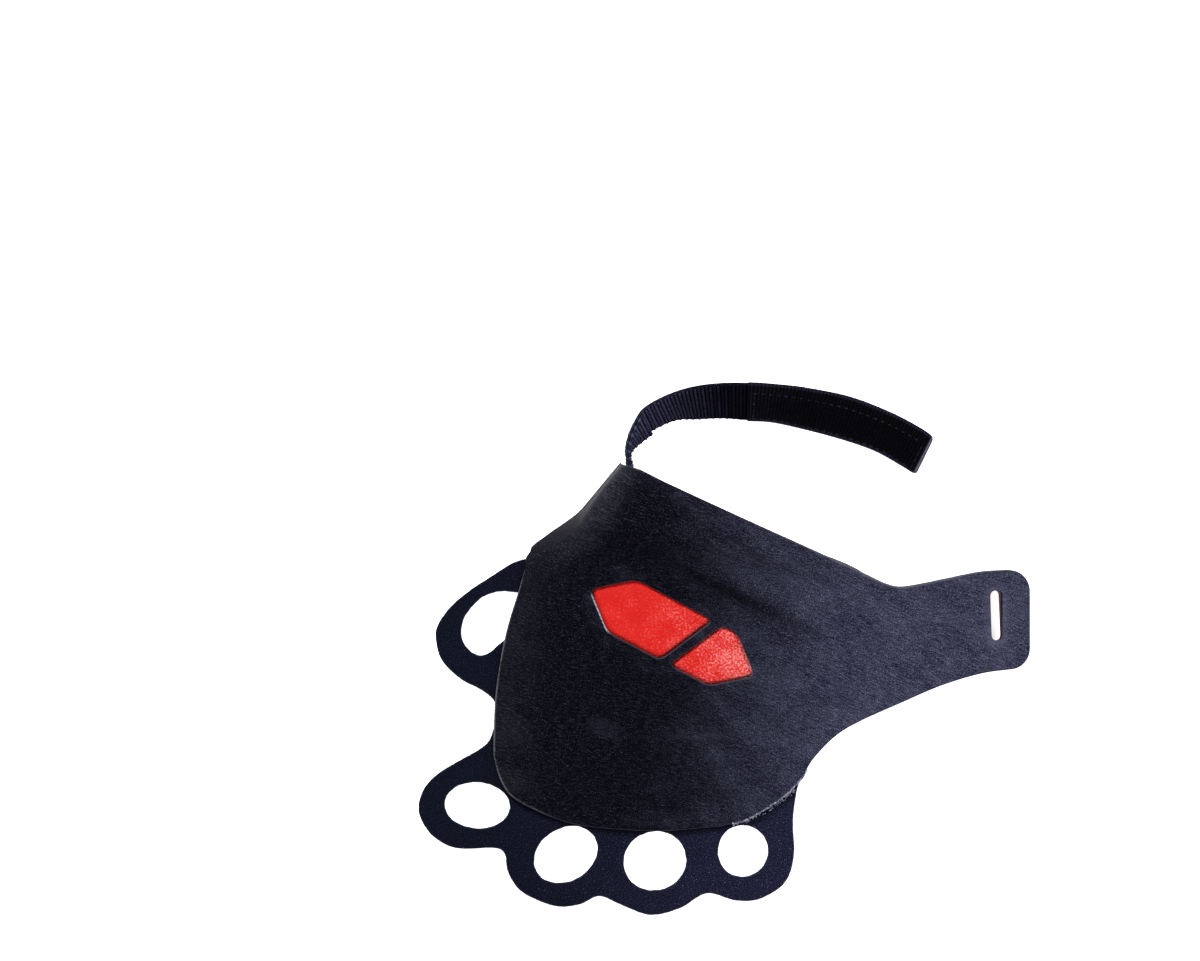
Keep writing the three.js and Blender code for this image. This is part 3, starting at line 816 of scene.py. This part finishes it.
def end_tree(nodes, geometry, finish):
    """Ends a shape: what it made is realized and gets its material."""
    real = nodes.add("GeometryNodeRealizeInstances", {"Geometry": geometry})
    done = nodes.add("GeometryNodeSetMaterial", {"Geometry": real, "Material": finish})
    end = nodes.tree.nodes.new("NodeGroupOutput")
    nodes.tree.links.new(done.socket, end.inputs[0])
    return nodes.tree


def grown(name, mesh, tree, sizes):
    """The plain mesh that a shape's tree makes from a mesh."""
    start = placed(name, mesh)
    modifier = start.modifiers.new("shape", "NODES")
    modifier.node_group = tree
    for socket in tree.interface.items_tree:
        if socket.name in sizes:
            modifier[socket.identifier] = sizes[socket.name]
    depsgraph = bpy.context.evaluated_depsgraph_get()
    made = bpy.data.meshes.new_from_object(start.evaluated_get(depsgraph))
    made.name = name
    bpy.data.objects.remove(start)
    return made


def rib_tree(finish):
    """Raises smooth bars across a band, but for one of its sides up to a length."""
    nodes, given = shape_tree("webbing_ribs", ("Rib Pitch", "Rib Height", "Bare Side", "Bare Until"))
    along, _, _ = nodes.split(nodes.stored("flat_at", "FLOAT_VECTOR"))
    bar = along.wave(given["Rib Pitch"]) ** 3
    inner = (nodes.stored("edge") * (1 / (1.2 * MM))).maths("MINIMUM", 1.0) ** 1.5
    hidden = (nodes.stored("side") * given["Bare Side"]).maths("GREATER_THAN", -0.1)
    ribbed = 1 - hidden * along.maths("LESS_THAN", given["Bare Until"])
    height = (bar - 0.5) * (inner * ribbed) * given["Rib Height"]
    outwards = {"Vector": nodes.add("GeometryNodeInputNormal"), "Scale": height}
    offset = nodes.add("ShaderNodeVectorMath", outwards, operation="SCALE")
    moved = nodes.add("GeometryNodeSetPosition", {"Geometry": given["Geometry"], "Offset": offset})
    return end_tree(nodes, moved, finish)


def set_on_points(nodes, given, shape):
    """A shape of unit size on each point, turned by the point's own directions and sized."""
    turn = {}
    for axis, pivot, name in (("Z", "AUTO", "out"), ("X", "Z", "along")):
        turn["Vector"] = nodes.stored(name, "FLOAT_VECTOR")
        turn["Rotation"] = nodes.add("FunctionNodeAlignRotationToVector", turn, axis=axis, pivot_axis=pivot)
    halves = {axis: given[name] * 0.5 for axis, name in zip("XYZ", ("Length", "Width", "Height"))}
    size = nodes.add("ShaderNodeCombineXYZ", halves)
    return scattered(nodes, given, shape, turn["Rotation"], size)


def scattered(nodes, given, shape, rotation, scale):
    smooth = nodes.add("GeometryNodeSetShadeSmooth", {"Geometry": shape})
    sockets = {"Points": given["Geometry"], "Instance": smooth, "Rotation": rotation, "Scale": scale}
    return nodes.add("GeometryNodeInstanceOnPoints", sockets)


def bead_tree(name, finish, segments, rings):
    nodes, given = shape_tree(name, ("Length", "Width", "Height"))
    ball = nodes.add("GeometryNodeMeshUVSphere", {"Segments": segments, "Rings": rings})
    return end_tree(nodes, set_on_points(nodes, given, ball), finish)


def points_on(name, edges, at, across, height):
    """Points on a band's face, with its directions, for shapes that are set on them."""
    length = band_length(edges)
    rows = np.linspace(0, length, round(length / MM) + 1)
    low, up, along, out = (filled_in(at, rows, part) for part in band_frames(edges, rows))
    points = low + across[:, None] * up + height * out
    mesh = bpy.data.meshes.new(name)
    mesh.from_pydata(points.tolist(), [], [])
    store(mesh, "along", unit(along))
    store(mesh, "out", unit(out) * np.sign(height))
    return mesh


def crossed(at, across):
    """Every pair of two sets of numbers."""
    return [part.ravel() for part in np.meshgrid(at, across, indexing="ij")]


def join(first, *others):
    """Makes several objects one piece."""
    with bpy.context.temp_override(active_object=first, selected_editable_objects=[first, *others]):
        bpy.ops.object.join()


BEAD = {"Length": 0.95 * MM, "Width": 0.62 * MM, "Height": 0.55 * MM}
FLAT_BEAD = {**BEAD, "Height": 0.3 * MM}
BEAD_PITCH = 0.94 * MM
BEAD_START = 0.6 * MM  # how far the first bead of a row is from the edge
RIBS = {"Rib Pitch": RIB_PITCH, "Rib Height": 0.4 * MM}


def webbing_cloth():
    nodes = material("ribbed_webbing")
    flat = nodes.flat()
    along, across, _ = nodes.split(flat)
    strand = nodes.noise(flat, (0.16, 2.5))
    dust = nodes.noise(flat, 5, detail=3.0)
    # Painted sheen: the bars are lighter near the hand, where the strap stands on edge.
    bend_sheen = nodes.reach(along, 62, 24)
    dash = 1 - (across - BEAD_START).wave(BEAD_PITCH)
    lit = nodes.ramp(along.wave(RIB_PITCH) ** 2 * (0.25 + 0.75 * dash) + 0.3 * strand, 0.36, 0.8)
    light = nodes.mix(bend_sheen, (0.0036, 0.0038, 0.0064), (0.052, 0.054, 0.108))
    selvedge = nodes.reach(nodes.value("edge"), 0.9, 0.3)
    colour = nodes.coats(
        nodes.mix(dust, (0.0006, 0.0006, 0.0014), (0.0014, 0.0014, 0.0028)),
        (lit, light),
        (selvedge * (0.1 + 0.25 * bend_sheen), (0.030, 0.032, 0.058)))
    return nodes.surface(colour, 0.42, strand, 0.1 * MM, 0.0)


def yarn():
    nodes = material("webbing_yarn")
    place = nodes.place()
    across, _, _ = nodes.split(place)
    twist = nodes.noise(place, 0.4)
    # Painted sheen: the beads are lighter near the hand, where the strap stands on edge.
    bend_sheen = nodes.reach(across, 6, -26)
    light = nodes.mix(bend_sheen, (0.0062, 0.0064, 0.0115), (0.056, 0.058, 0.118))
    colour = nodes.mix(nodes.ramp(twist, 0.3, 0.6), (0.003, 0.003, 0.006), light)
    return nodes.surface(colour, 0.5, twist, 0.05 * MM, 0.0)


whole_strap = [np.vstack(parts) for parts in zip(tail_edges(), strap_edges(0))]
strap_length = band_length(whole_strap)
ribs = rib_tree(webbing_cloth())
beads = bead_tree("webbing_beads", yarn(), 6, 4)


def length_at(station):
    """How far along the strap, its tail included, a station is."""
    return strap_length - band_length(strap_edges(station))


def webbing(name, span, heights, overhang, end_corner, bare_side, bare_until):
    """A piece of ribbed webbing. One side, 1 for its front and -1 for its back, is hidden up to a
    length and has no bars there."""
    band = ribbon(name, whole_strap, span, RIB_PITCH / 10, heights, overhang, corner=0.5 * MM,
                  end_corner=end_corner)
    return piece(name, grown(name, band, ribs, {**RIBS, "Bare Side": bare_side, "Bare Until": bare_until}))


def bead_rows(name, span, width, height, size=BEAD):
    """Beads in rows between the strap's bars, on the face at a height."""
    start, end = span
    rows = np.arange(np.ceil(start / RIB_PITCH - 0.5) + 0.5, end / RIB_PITCH) * RIB_PITCH
    at, across = crossed(rows, np.arange(*width, BEAD_PITCH))
    return piece(name, grown(name, points_on(name, whole_strap, at, across, height), beads, size))


FACE = 0.52 * MM  # the webbing's faces, between its bars
SELVEDGE = -0.15 * MM
doubled = length_at(NOTCH_STATION)
strap = webbing("wrist_strap_webbing", (0, strap_length), (-FACE, FACE), (SELVEDGE, SELVEDGE),
                end_corner=1.1 * MM, bare_side=1.0, bare_until=doubled)
weft = bead_rows("wrist_strap_weft", (doubled, length_at(PATCH_STATION)),
                 (BEAD_START, STRAP_WIDTH - 0.5 * MM), FACE)
join(weft, bead_rows("strap_back_weft", (0, strap_length - MM),
                     (0.9 * MM, STRAP_WIDTH - 1.3 * MM), -FACE, FLAT_BEAD))
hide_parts("wrist_strap")


# The strap's doubled root
# A second layer of the same webbing on the strap's inner face, from the corner on for 17 mm, sewn
# in with it. Its cut end makes the small step in the strap's low edge.

DROP = 0.8 * MM
BACKING_BACK = 0.47 * MM
BACKING_FRONT = 1.35 * MM
backed = (length_at(0) - 0.4 * MM, doubled)
backing = webbing("strap_backing_webbing", backed, (BACKING_BACK, BACKING_FRONT), (DROP, -DROP),
                  end_corner=0.4 * MM, bare_side=-1.0, bare_until=doubled + MM)
backing_weft = bead_rows("strap_backing_weft", backed,
                         (BEAD_START - DROP, STRAP_WIDTH - 1.2 * MM - DROP), BACKING_FRONT)
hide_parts("strap_backing")


# The hook patch
# Black hook tape, as wide as the strap, sewn on its free end with one line of stitches all round.
# Its end is melted together with the strap's.

PATCH_OVERHANG = 1.1 * MM
PATCH_SHY = 0.6 * MM  # its low edge stops this far inside the strap's
PATCH_BACK = 0.78 * MM
PATCH_FRONT = 1.5 * MM
TAPE_RIB = 1.15 * MM
patch_edges = strap_edges(PATCH_STATION)
patch_length = band_length(patch_edges)


def hook_cloth():
    nodes = material("hook_tape")
    flat = nodes.flat()
    along, _, _ = nodes.split(flat)
    rib = along.wave(TAPE_RIB)
    weave = nodes.noise(flat, (1.2, 0.3))
    dust = nodes.ramp(nodes.noise(flat, 0.6, detail=1.0), 0.7, 0.8)
    melted = nodes.ramp(nodes.noise(flat, 0.8), 0.25, 0.5)
    sealed = nodes.ramp(along, patch_length - 1.1 * MM, patch_length - 0.7 * MM) * melted
    rim = nodes.reach(nodes.value("edge"), 1.2, 0.9) * (0.35 + 0.65 * rib)
    light = nodes.mix(nodes.reach(along, 22, 0), (0.0026, 0.0026, 0.0050), (0.0062, 0.0062, 0.0125))
    colour = nodes.coats(
        (0.0003, 0.0003, 0.0006),
        (nodes.ramp(rib * 0.6 + weave, 0.75, 1.3), light),
        (dust * 0.25, (0.03, 0.03, 0.055)),
        (sealed, (0.085, 0.086, 0.120)),
        (rim * 0.45, (0.022, 0.022, 0.042)))
    return nodes.surface(colour, 0.75, weave + rib, 0.12 * MM, 0.02)


def hook_tree(finish):
    """Small bent hooks on points."""
    nodes, given = shape_tree("tape_hooks", ("Length", "Width", "Height", "Thread"))
    bend = {"Resolution": 5, "Start Angle": -0.5, "Sweep Angle": 3.6}
    arch = nodes.add("GeometryNodeCurveArc", bend)
    upright = nodes.add("GeometryNodeTransform", {"Geometry": arch, "Rotation": (np.pi / 2, 0, 0)})
    profile = {"Resolution": 4, "Radius": given["Thread"]}
    thread = nodes.add("GeometryNodeCurvePrimitiveCircle", profile, mode="RADIUS")
    swept = {"Curve": upright, "Profile Curve": thread, "Fill Caps": True}
    hook = nodes.add("GeometryNodeCurveToMesh", swept)
    return end_tree(nodes, set_on_points(nodes, given, hook), finish)


def hook_nylon():
    nodes = material("hook_nylon")
    shade = nodes.noise(nodes.place(), 1.5)
    colour = nodes.mix(shade, (0.0007, 0.0007, 0.0014), (0.002, 0.002, 0.0038))
    return nodes.surface(colour, 0.5, shade, 0.02 * MM, 0.03)


def seam_thread():
    nodes = material("stitch_thread")
    twist = nodes.noise(nodes.place(), 0.5)
    colour = nodes.mix(nodes.ramp(twist, 0.3, 0.7), (0.002, 0.002, 0.004), (0.019, 0.019, 0.040))
    return nodes.surface(colour, 0.55, twist, 0.05 * MM, 0.0)


patch_band = ribbon("hook_patch_tape", patch_edges, (0, patch_length), 0.5 * MM, (PATCH_BACK, PATCH_FRONT),
                    (-PATCH_SHY, PATCH_OVERHANG), corner=0.3 * MM, end_corner=1.6 * MM)
patch = piece("hook_patch_tape", patch_band, hook_cloth())

# The stitches run all round the patch, a little in from its edges.
STITCH_PITCH = 2.5 * MM
CROSS_PITCH = 2.6 * MM
STITCH = 1.8 * MM
TOP_STITCH = 1.4 * MM
THREAD = 0.4 * MM
TOP_SEAM = STRAP_WIDTH - 3.4 * MM
LOW_SEAM = 2 * MM
START_SEAM = 2 * MM
END_SEAM = patch_length - 2.4 * MM
along_seam = np.arange(2.2 * MM, patch_length - 3 * MM, STITCH_PITCH)
across_seam = np.arange(LOW_SEAM + MM, TOP_SEAM - 0.5 * MM, CROSS_PITCH)
stitches = bead_tree("seam_stitches", seam_thread(), 8, 6)


def stitched(name, at, across, length, crosswise=False):
    """A line of stitches on the patch, which lie along it or crosswise."""
    at, across = np.broadcast_arrays(at, across)
    points = points_on(name, patch_edges, at, across, PATCH_FRONT)
    if crosswise:
        _, up, _, _ = band_frames(patch_edges, np.linspace(at[0] - MM, at[0] + MM, 3))
        points.attributes["along"].data.foreach_set("vector", np.tile(up[1], len(at)).astype(np.float32))
    sizes = {"Length": length, "Width": THREAD, "Height": THREAD}
    return piece(name, grown(name, points, stitches, sizes))


seam = stitched("hook_patch_seam", along_seam, TOP_SEAM, TOP_STITCH)
join(seam, stitched("low_seam", along_seam, LOW_SEAM, STITCH),
     stitched("start_seam", START_SEAM, across_seam, STITCH, crosswise=True),
     stitched("end_seam", END_SEAM, across_seam, STITCH, crosswise=True))

HOOK_PITCH = 1.05 * MM
HOOK_STRAY = 0.1 * MM
HOOK = {"Length": 0.7 * MM, "Width": 0.7 * MM, "Height": 0.7 * MM, "Thread": 0.28}
draw = np.random.default_rng(5)
at, across = crossed(np.arange(3 * MM, patch_length - 3.4 * MM, HOOK_PITCH),
                     np.arange(LOW_SEAM + MM, TOP_SEAM - 0.6 * MM, HOOK_PITCH))
at = at + draw.normal(0, HOOK_STRAY, len(at))
across = across + draw.normal(0, HOOK_STRAY, len(across))
hook_points = points_on("hooks", patch_edges, at, across, PATCH_FRONT + 0.05 * MM)
hooks = piece("hook_patch_hooks", grown("hook_patch_hooks", hook_points, hook_tree(hook_nylon()), HOOK))
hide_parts("hook_patch")


# The hand panel
# Matt black rubber, 2 mm thick, die-cut with the slot for the strap and two windows that bare
# the lining. Its faces keep a fine brushed grain, and its cut edges are lighter.

def slot_distance(across, up):
    """How far the surface is from the strap's slot, in metres."""
    aside = across - SLOT_X * MM
    past = ((up - SLOT_Y * MM).maths("ABSOLUTE") - (SLOT_LENGTH - SLOT_WIDTH) / 2 * MM).maths("MAXIMUM", 0.0)
    return (aside * aside + past * past) ** 0.5 - SLOT_WIDTH / 2 * MM


def rubber():
    nodes = material("brushed_rubber")
    flat = nodes.flat()
    across, up, _ = nodes.split(nodes.place())
    edge = nodes.value("edge")
    fold = nodes.value("fold")
    crease_shade = nodes.value("crease")
    grain = nodes.noise(flat, (2.8, 0.38), lean=-14, roughness=0.65)
    scratch = nodes.noise(flat, (5, 0.42), lean=-30, roughness=0.6)
    fine = nodes.noise(flat, (0.42, 0.26), detail=1.0, lean=-14, roughness=0.7)
    clouds = nodes.noise(flat, (18, 9), detail=5.0, lean=-20, roughness=0.6)
    patches = nodes.noise(flat, (15, 7.5), detail=3.0, lean=-25, roughness=0.6)
    speck = nodes.ramp(nodes.noise(flat, 0.45, detail=1.0), 0.64, 0.74)
    lint = nodes.ramp(nodes.noise(flat, (1.8, 0.42), detail=1.0, lean=35), 0.68, 0.76)
    to_the_right = nodes.reach(across + clouds * (45 * MM), -8, 78)

    # It is dark on the thumb side and lighter towards the tab, with dust and a painted sheen there.
    sheen_and_dust = nodes.mix(nodes.ramp(patches, 0.36, 0.62), (0.0038, 0.0037, 0.0126), (0.0168, 0.0175, 0.031))
    # Painted highlights along the ridge and on the thumb-side flank.
    ridge_highlight = nodes.value("ridge") * nodes.ramp(clouds + 0.3 * grain, 0.35, 0.8)
    flank = nodes.reach(across, -57, -72) * nodes.ramp(scratch + clouds, 0.75, 1.15)
    # Painted highlights on the raised folds and in the shallow dents.
    crest = nodes.reach(fold, 0.1, 0.8)
    dent = nodes.reach(fold, -0.1, -0.5) * nodes.reach(up, -14, -22)
    # Wear near the edges, with a painted highlight where the edge curls down.
    edge_wear_and_highlight = nodes.reach(edge, 8, 0.5) * nodes.ramp(clouds, 0.42, 0.75) * nodes.reach(across, -66, -42)
    base = nodes.coats(
        nodes.mix(clouds, (0.0002, 0.0002, 0.0010), (0.0010, 0.0010, 0.0027)),
        (to_the_right, sheen_and_dust),
        (ridge_highlight * 0.5 + flank * 0.2, (0.024, 0.026, 0.034)),
        (crest * 0.14 + dent * clouds * 0.3 + edge_wear_and_highlight * 0.3, (0.030, 0.031, 0.050)),
        # Painted shade in the crease and on its side towards the windows.
        (crease_shade * 0.9, (0.0004, 0.0004, 0.0013)))

    # Over that lies the brushed grain, with specks, lint, and painted glints on the dark thumb side.
    rub = nodes.ramp(grain * 0.3 + fine * 0.7, 0.45, 0.64) * 0.42 + nodes.ramp(scratch, 0.46, 0.68) * 0.25
    glint = nodes.ramp(grain * 0.4 + fine * 0.6, 0.53, 0.68) * (0.25 * (1 - to_the_right))
    dark = nodes.ramp(fine * 0.6 + grain * 0.4, 0.53, 0.37)
    brushed = nodes.coats(
        base,
        ((rub * to_the_right + glint) * (1 - crease_shade * 0.75), (0.10, 0.102, 0.168)),
        (dark * 0.78, (0.0005, 0.0005, 0.0014)),
        ((speck * 0.5 + lint * 0.3) * (0.12 + 0.88 * to_the_right), (0.20, 0.205, 0.28)))

    # The cut edges are lighter: the slot's, the outline's and the windows'. A painted shadow darkens the
    # slot's right edge.
    slot_away = slot_distance(across, up)
    slot_shade = nodes.reach(slot_away, 0.55, 0.25) * nodes.reach(across, SLOT_X + 0.9, SLOT_X + 1.7)
    cut = nodes.reach(edge, 0.3, 0.02) * (1 - slot_shade)
    frayed_cut = nodes.reach(edge, 0.8, 0.2) * nodes.ramp(clouds + grain, 0.75, 1.05)
    # A whitish painted highlight on one window wall.
    wall_highlight = nodes.reach(edge, 0.5, 0.1) * nodes.value("wall")
    colour = nodes.coats(
        brushed,
        (nodes.reach(slot_away, 3.6, 0.4) * 0.14, (0.12, 0.125, 0.18)),
        (slot_shade * 0.9, (0.0035, 0.0018, 0.0022)),
        (cut * 0.5, (0.055, 0.06, 0.08)),
        (frayed_cut * nodes.reach(across, -55, -66) * 0.5, (0.11, 0.115, 0.13)),
        (wall_highlight * nodes.ramp(fine + scratch, 0.75, 1.1), (0.42, 0.43, 0.48)))
    rough = nodes.ramp(grain, 0.3, 0.7, 0.5, 0.66)
    return nodes.surface(colour, rough, grain * 0.5 + fine * 0.5, 0.16 * MM, 0.022,
                         Specular_Tint=(0.72, 0.75, 1, 1))


panel_slot = unrolled(slot_loop(SLOT_X, SLOT_WIDTH), RUBBER_HIGH)
panel_loops = [PANEL_LOOP, panel_slot, *window_loops]
panel_sheet = cut_sheet("hand_panel_rubber", panel_loops, RUBBER_LOW, RUBBER_HIGH, bevel=0.3 * MM,
                        spacing=MM)

# A whitish painted highlight lies on the wall of the left window's lower left side.
lit_wall = turned(np.linspace((-29, -2), (-20, -9.5), 40), WINDOW_LEAN) * MM + WINDOW_CENTRE
store(panel_sheet, "wall", np.clip(1.5 - nearest(plan_of(panel_sheet), lit_wall) / MM, 0, 1))
panel = piece("hand_panel_rubber", panel_sheet, rubber())
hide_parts("hand_panel")


# The glue at the panel's edge
# A whitish line of dried glue, squeezed out between the rubber's edge and the microfibre beside the
# little finger, with a thick lump where the tab begins and two smaller ones above the hole.

GLUE_LUMP = {"Size": 0.3 * MM, "Seed": 3}
SPOTS = 210
CLUSTERS = ((20.2, 64, 1.5, 1.5), (12, 16, 2.5, 0.8), (6, 44, 2.2, 1.2))  # x, count, reach, width
SHY_FROM = 23 * MM  # past this x the glue stays under the edge


def glue_tree(finish):
    """Uneven lumps on points."""
    nodes, given = shape_tree("glue_lumps", ("Size", "Seed"))
    lump = nodes.add("GeometryNodeMeshUVSphere", {"Segments": 7, "Rings": 5})
    limits = ((0.5, 0.5, 0.35), (1.5, 1.2, 0.8)), ((0, 0, 0.2), (0.5, 0.5, 1.2))
    varied = [{"Min": least, "Max": most, "Seed": given["Seed"]} for least, most in limits]
    size, lean = (nodes.add("FunctionNodeRandomValue", vary, data_type="FLOAT_VECTOR") for vary in varied)
    scaled = nodes.add("ShaderNodeVectorMath", {"Vector": size, "Scale": given["Size"]}, operation="SCALE")
    return end_tree(nodes, scattered(nodes, given, lump, lean, scaled), finish)


def dried_glue():
    nodes = material("dried_glue")
    milky = nodes.noise(nodes.place(), 0.9, detail=3.0, roughness=0.7)
    colour = nodes.mix(nodes.ramp(milky, 0.35, 0.68), (0.045, 0.048, 0.080), (0.25, 0.26, 0.33))
    return nodes.surface(colour, 0.45, milky, 0.1 * MM, 0.2)


draw = np.random.default_rng(11)
glue_line = curve((27.5, -40.6), (25.3, -44.2), (18.7, -50.2), (8.7, -56.5), (3, -58.4))
glue_line = unrolled(evenly(glue_line, 0.1 * MM, closed=False), RUBBER_HIGH, closed=False)
glue_out = np.gradient(glue_line, axis=0)
glue_out = unit(np.column_stack([-glue_out[:, 1], glue_out[:, 0]]))
last_spot = len(glue_line) - 1
spots = draw.uniform(0, last_spot, SPOTS)
spread = draw.uniform(-0.2 * MM, 0.25 * MM, SPOTS)
for centre, count, reach, width in CLUSTERS:
    middle = np.argmin(np.abs(glue_line[:, 0] - centre * MM))
    spots = np.r_[spots, draw.normal(middle, reach * 10, count)]
    spread = np.r_[spread, draw.uniform(-0.2 * MM, width * MM, count)]
spots = np.clip(spots, 0, last_spot).astype(int)
under = np.minimum(spread, 0) - 0.1 * MM
spread = np.where(glue_line[spots, 0] > SHY_FROM, under, spread)
lumps = glue_line[spots] + spread[:, None] * glue_out[spots]
heights = np.where(spread < 0.2 * MM, RUBBER_HIGH - 0.1 * MM, RUBBER_HIGH - (spread - 0.1 * MM) * 1.6)
glue_points = bpy.data.meshes.new("glue_points")
glue_points.from_pydata(raised(*place_in(lumps), heights).tolist(), [], [])
glue = piece("panel_edge_glue", grown("panel_edge_glue", glue_points, glue_tree(dried_glue()), GLUE_LUMP))


# The floor, the lights and the camera
# A white floor, a key light from the top left, and weaker ones from the right, the bottom and the
# left. The camera looks straight down.

FLOOR_REACH = 4  # metres on each side
white = material("white_floor")
white.surface((0.95, 0.95, 0.95, 1), 0.9, 0.5, 0.0, Emission_Color=(1, 1, 1, 1), Emission_Strength=0.75)
floor_mesh = bpy.data.meshes.new("floor")
floor_corners = [(x * FLOOR_REACH, y * FLOOR_REACH, 0) for x, y in ((-1, -1), (1, -1), (1, 1), (-1, 1))]
floor_mesh.from_pydata(floor_corners, [], [(0, 1, 2, 3)])
floor_mesh.materials.append(white.owner)
floor = placed("floor", floor_mesh)

# Each light's name, place, target, width and length in metres, and power in watts.
LIGHTS = (
    ("light_key", (-0.3, 0.55, 0.62), (-0.01, 0, 0), (0.3, 0.3), 12),
    ("light_right", (0.62, -0.12, 0.42), (0.04, 0, 0), (0.5, 0.5), 4),
    ("light_bottom", (0, -0.6, 0.7), (0, 0, 0), (0.7, 0.4), 3),
    ("light_left", (-0.7, 0.1, 0.4), (0, 0, 0), (0.5, 0.8), 2),
)
for name, place, target, size, power in LIGHTS:
    lamp = bpy.data.lights.new(name, "AREA")
    lamp.shape = "RECTANGLE"
    lamp.size, lamp.size_y = size
    lamp.energy = power
    softbox = placed(name, lamp)
    softbox.location = place
    softbox.rotation_euler = (Vector(target) - Vector(place)).to_track_quat("-Z", "Y").to_euler()

world = bpy.data.worlds.new("studio")
world.use_nodes = True
nodes = Nodes(world.node_tree)
_, _, height = nodes.split(nodes.add("ShaderNodeTexCoord"))
sky = nodes.ramp(height, 0.25, 0.75, 0.5, 0.05)
glow = nodes.add("ShaderNodeBackground", {"Color": (1, 1, 1, 1), "Strength": sky})
nodes.add("ShaderNodeOutputWorld", {"Surface": glow})
bpy.context.scene.world = world

CAMERA = np.array([-41.3, 55.7, 1200]) * MM
lens = bpy.data.cameras.new("camera")
lens.lens = 108
lens.sensor_width = 36
lens.clip_start, lens.clip_end = 0.05, 20
camera = placed("camera", lens)
camera.location = CAMERA
bpy.context.scene.camera = camera
bpy.context.scene.view_settings.view_transform = "Standard"
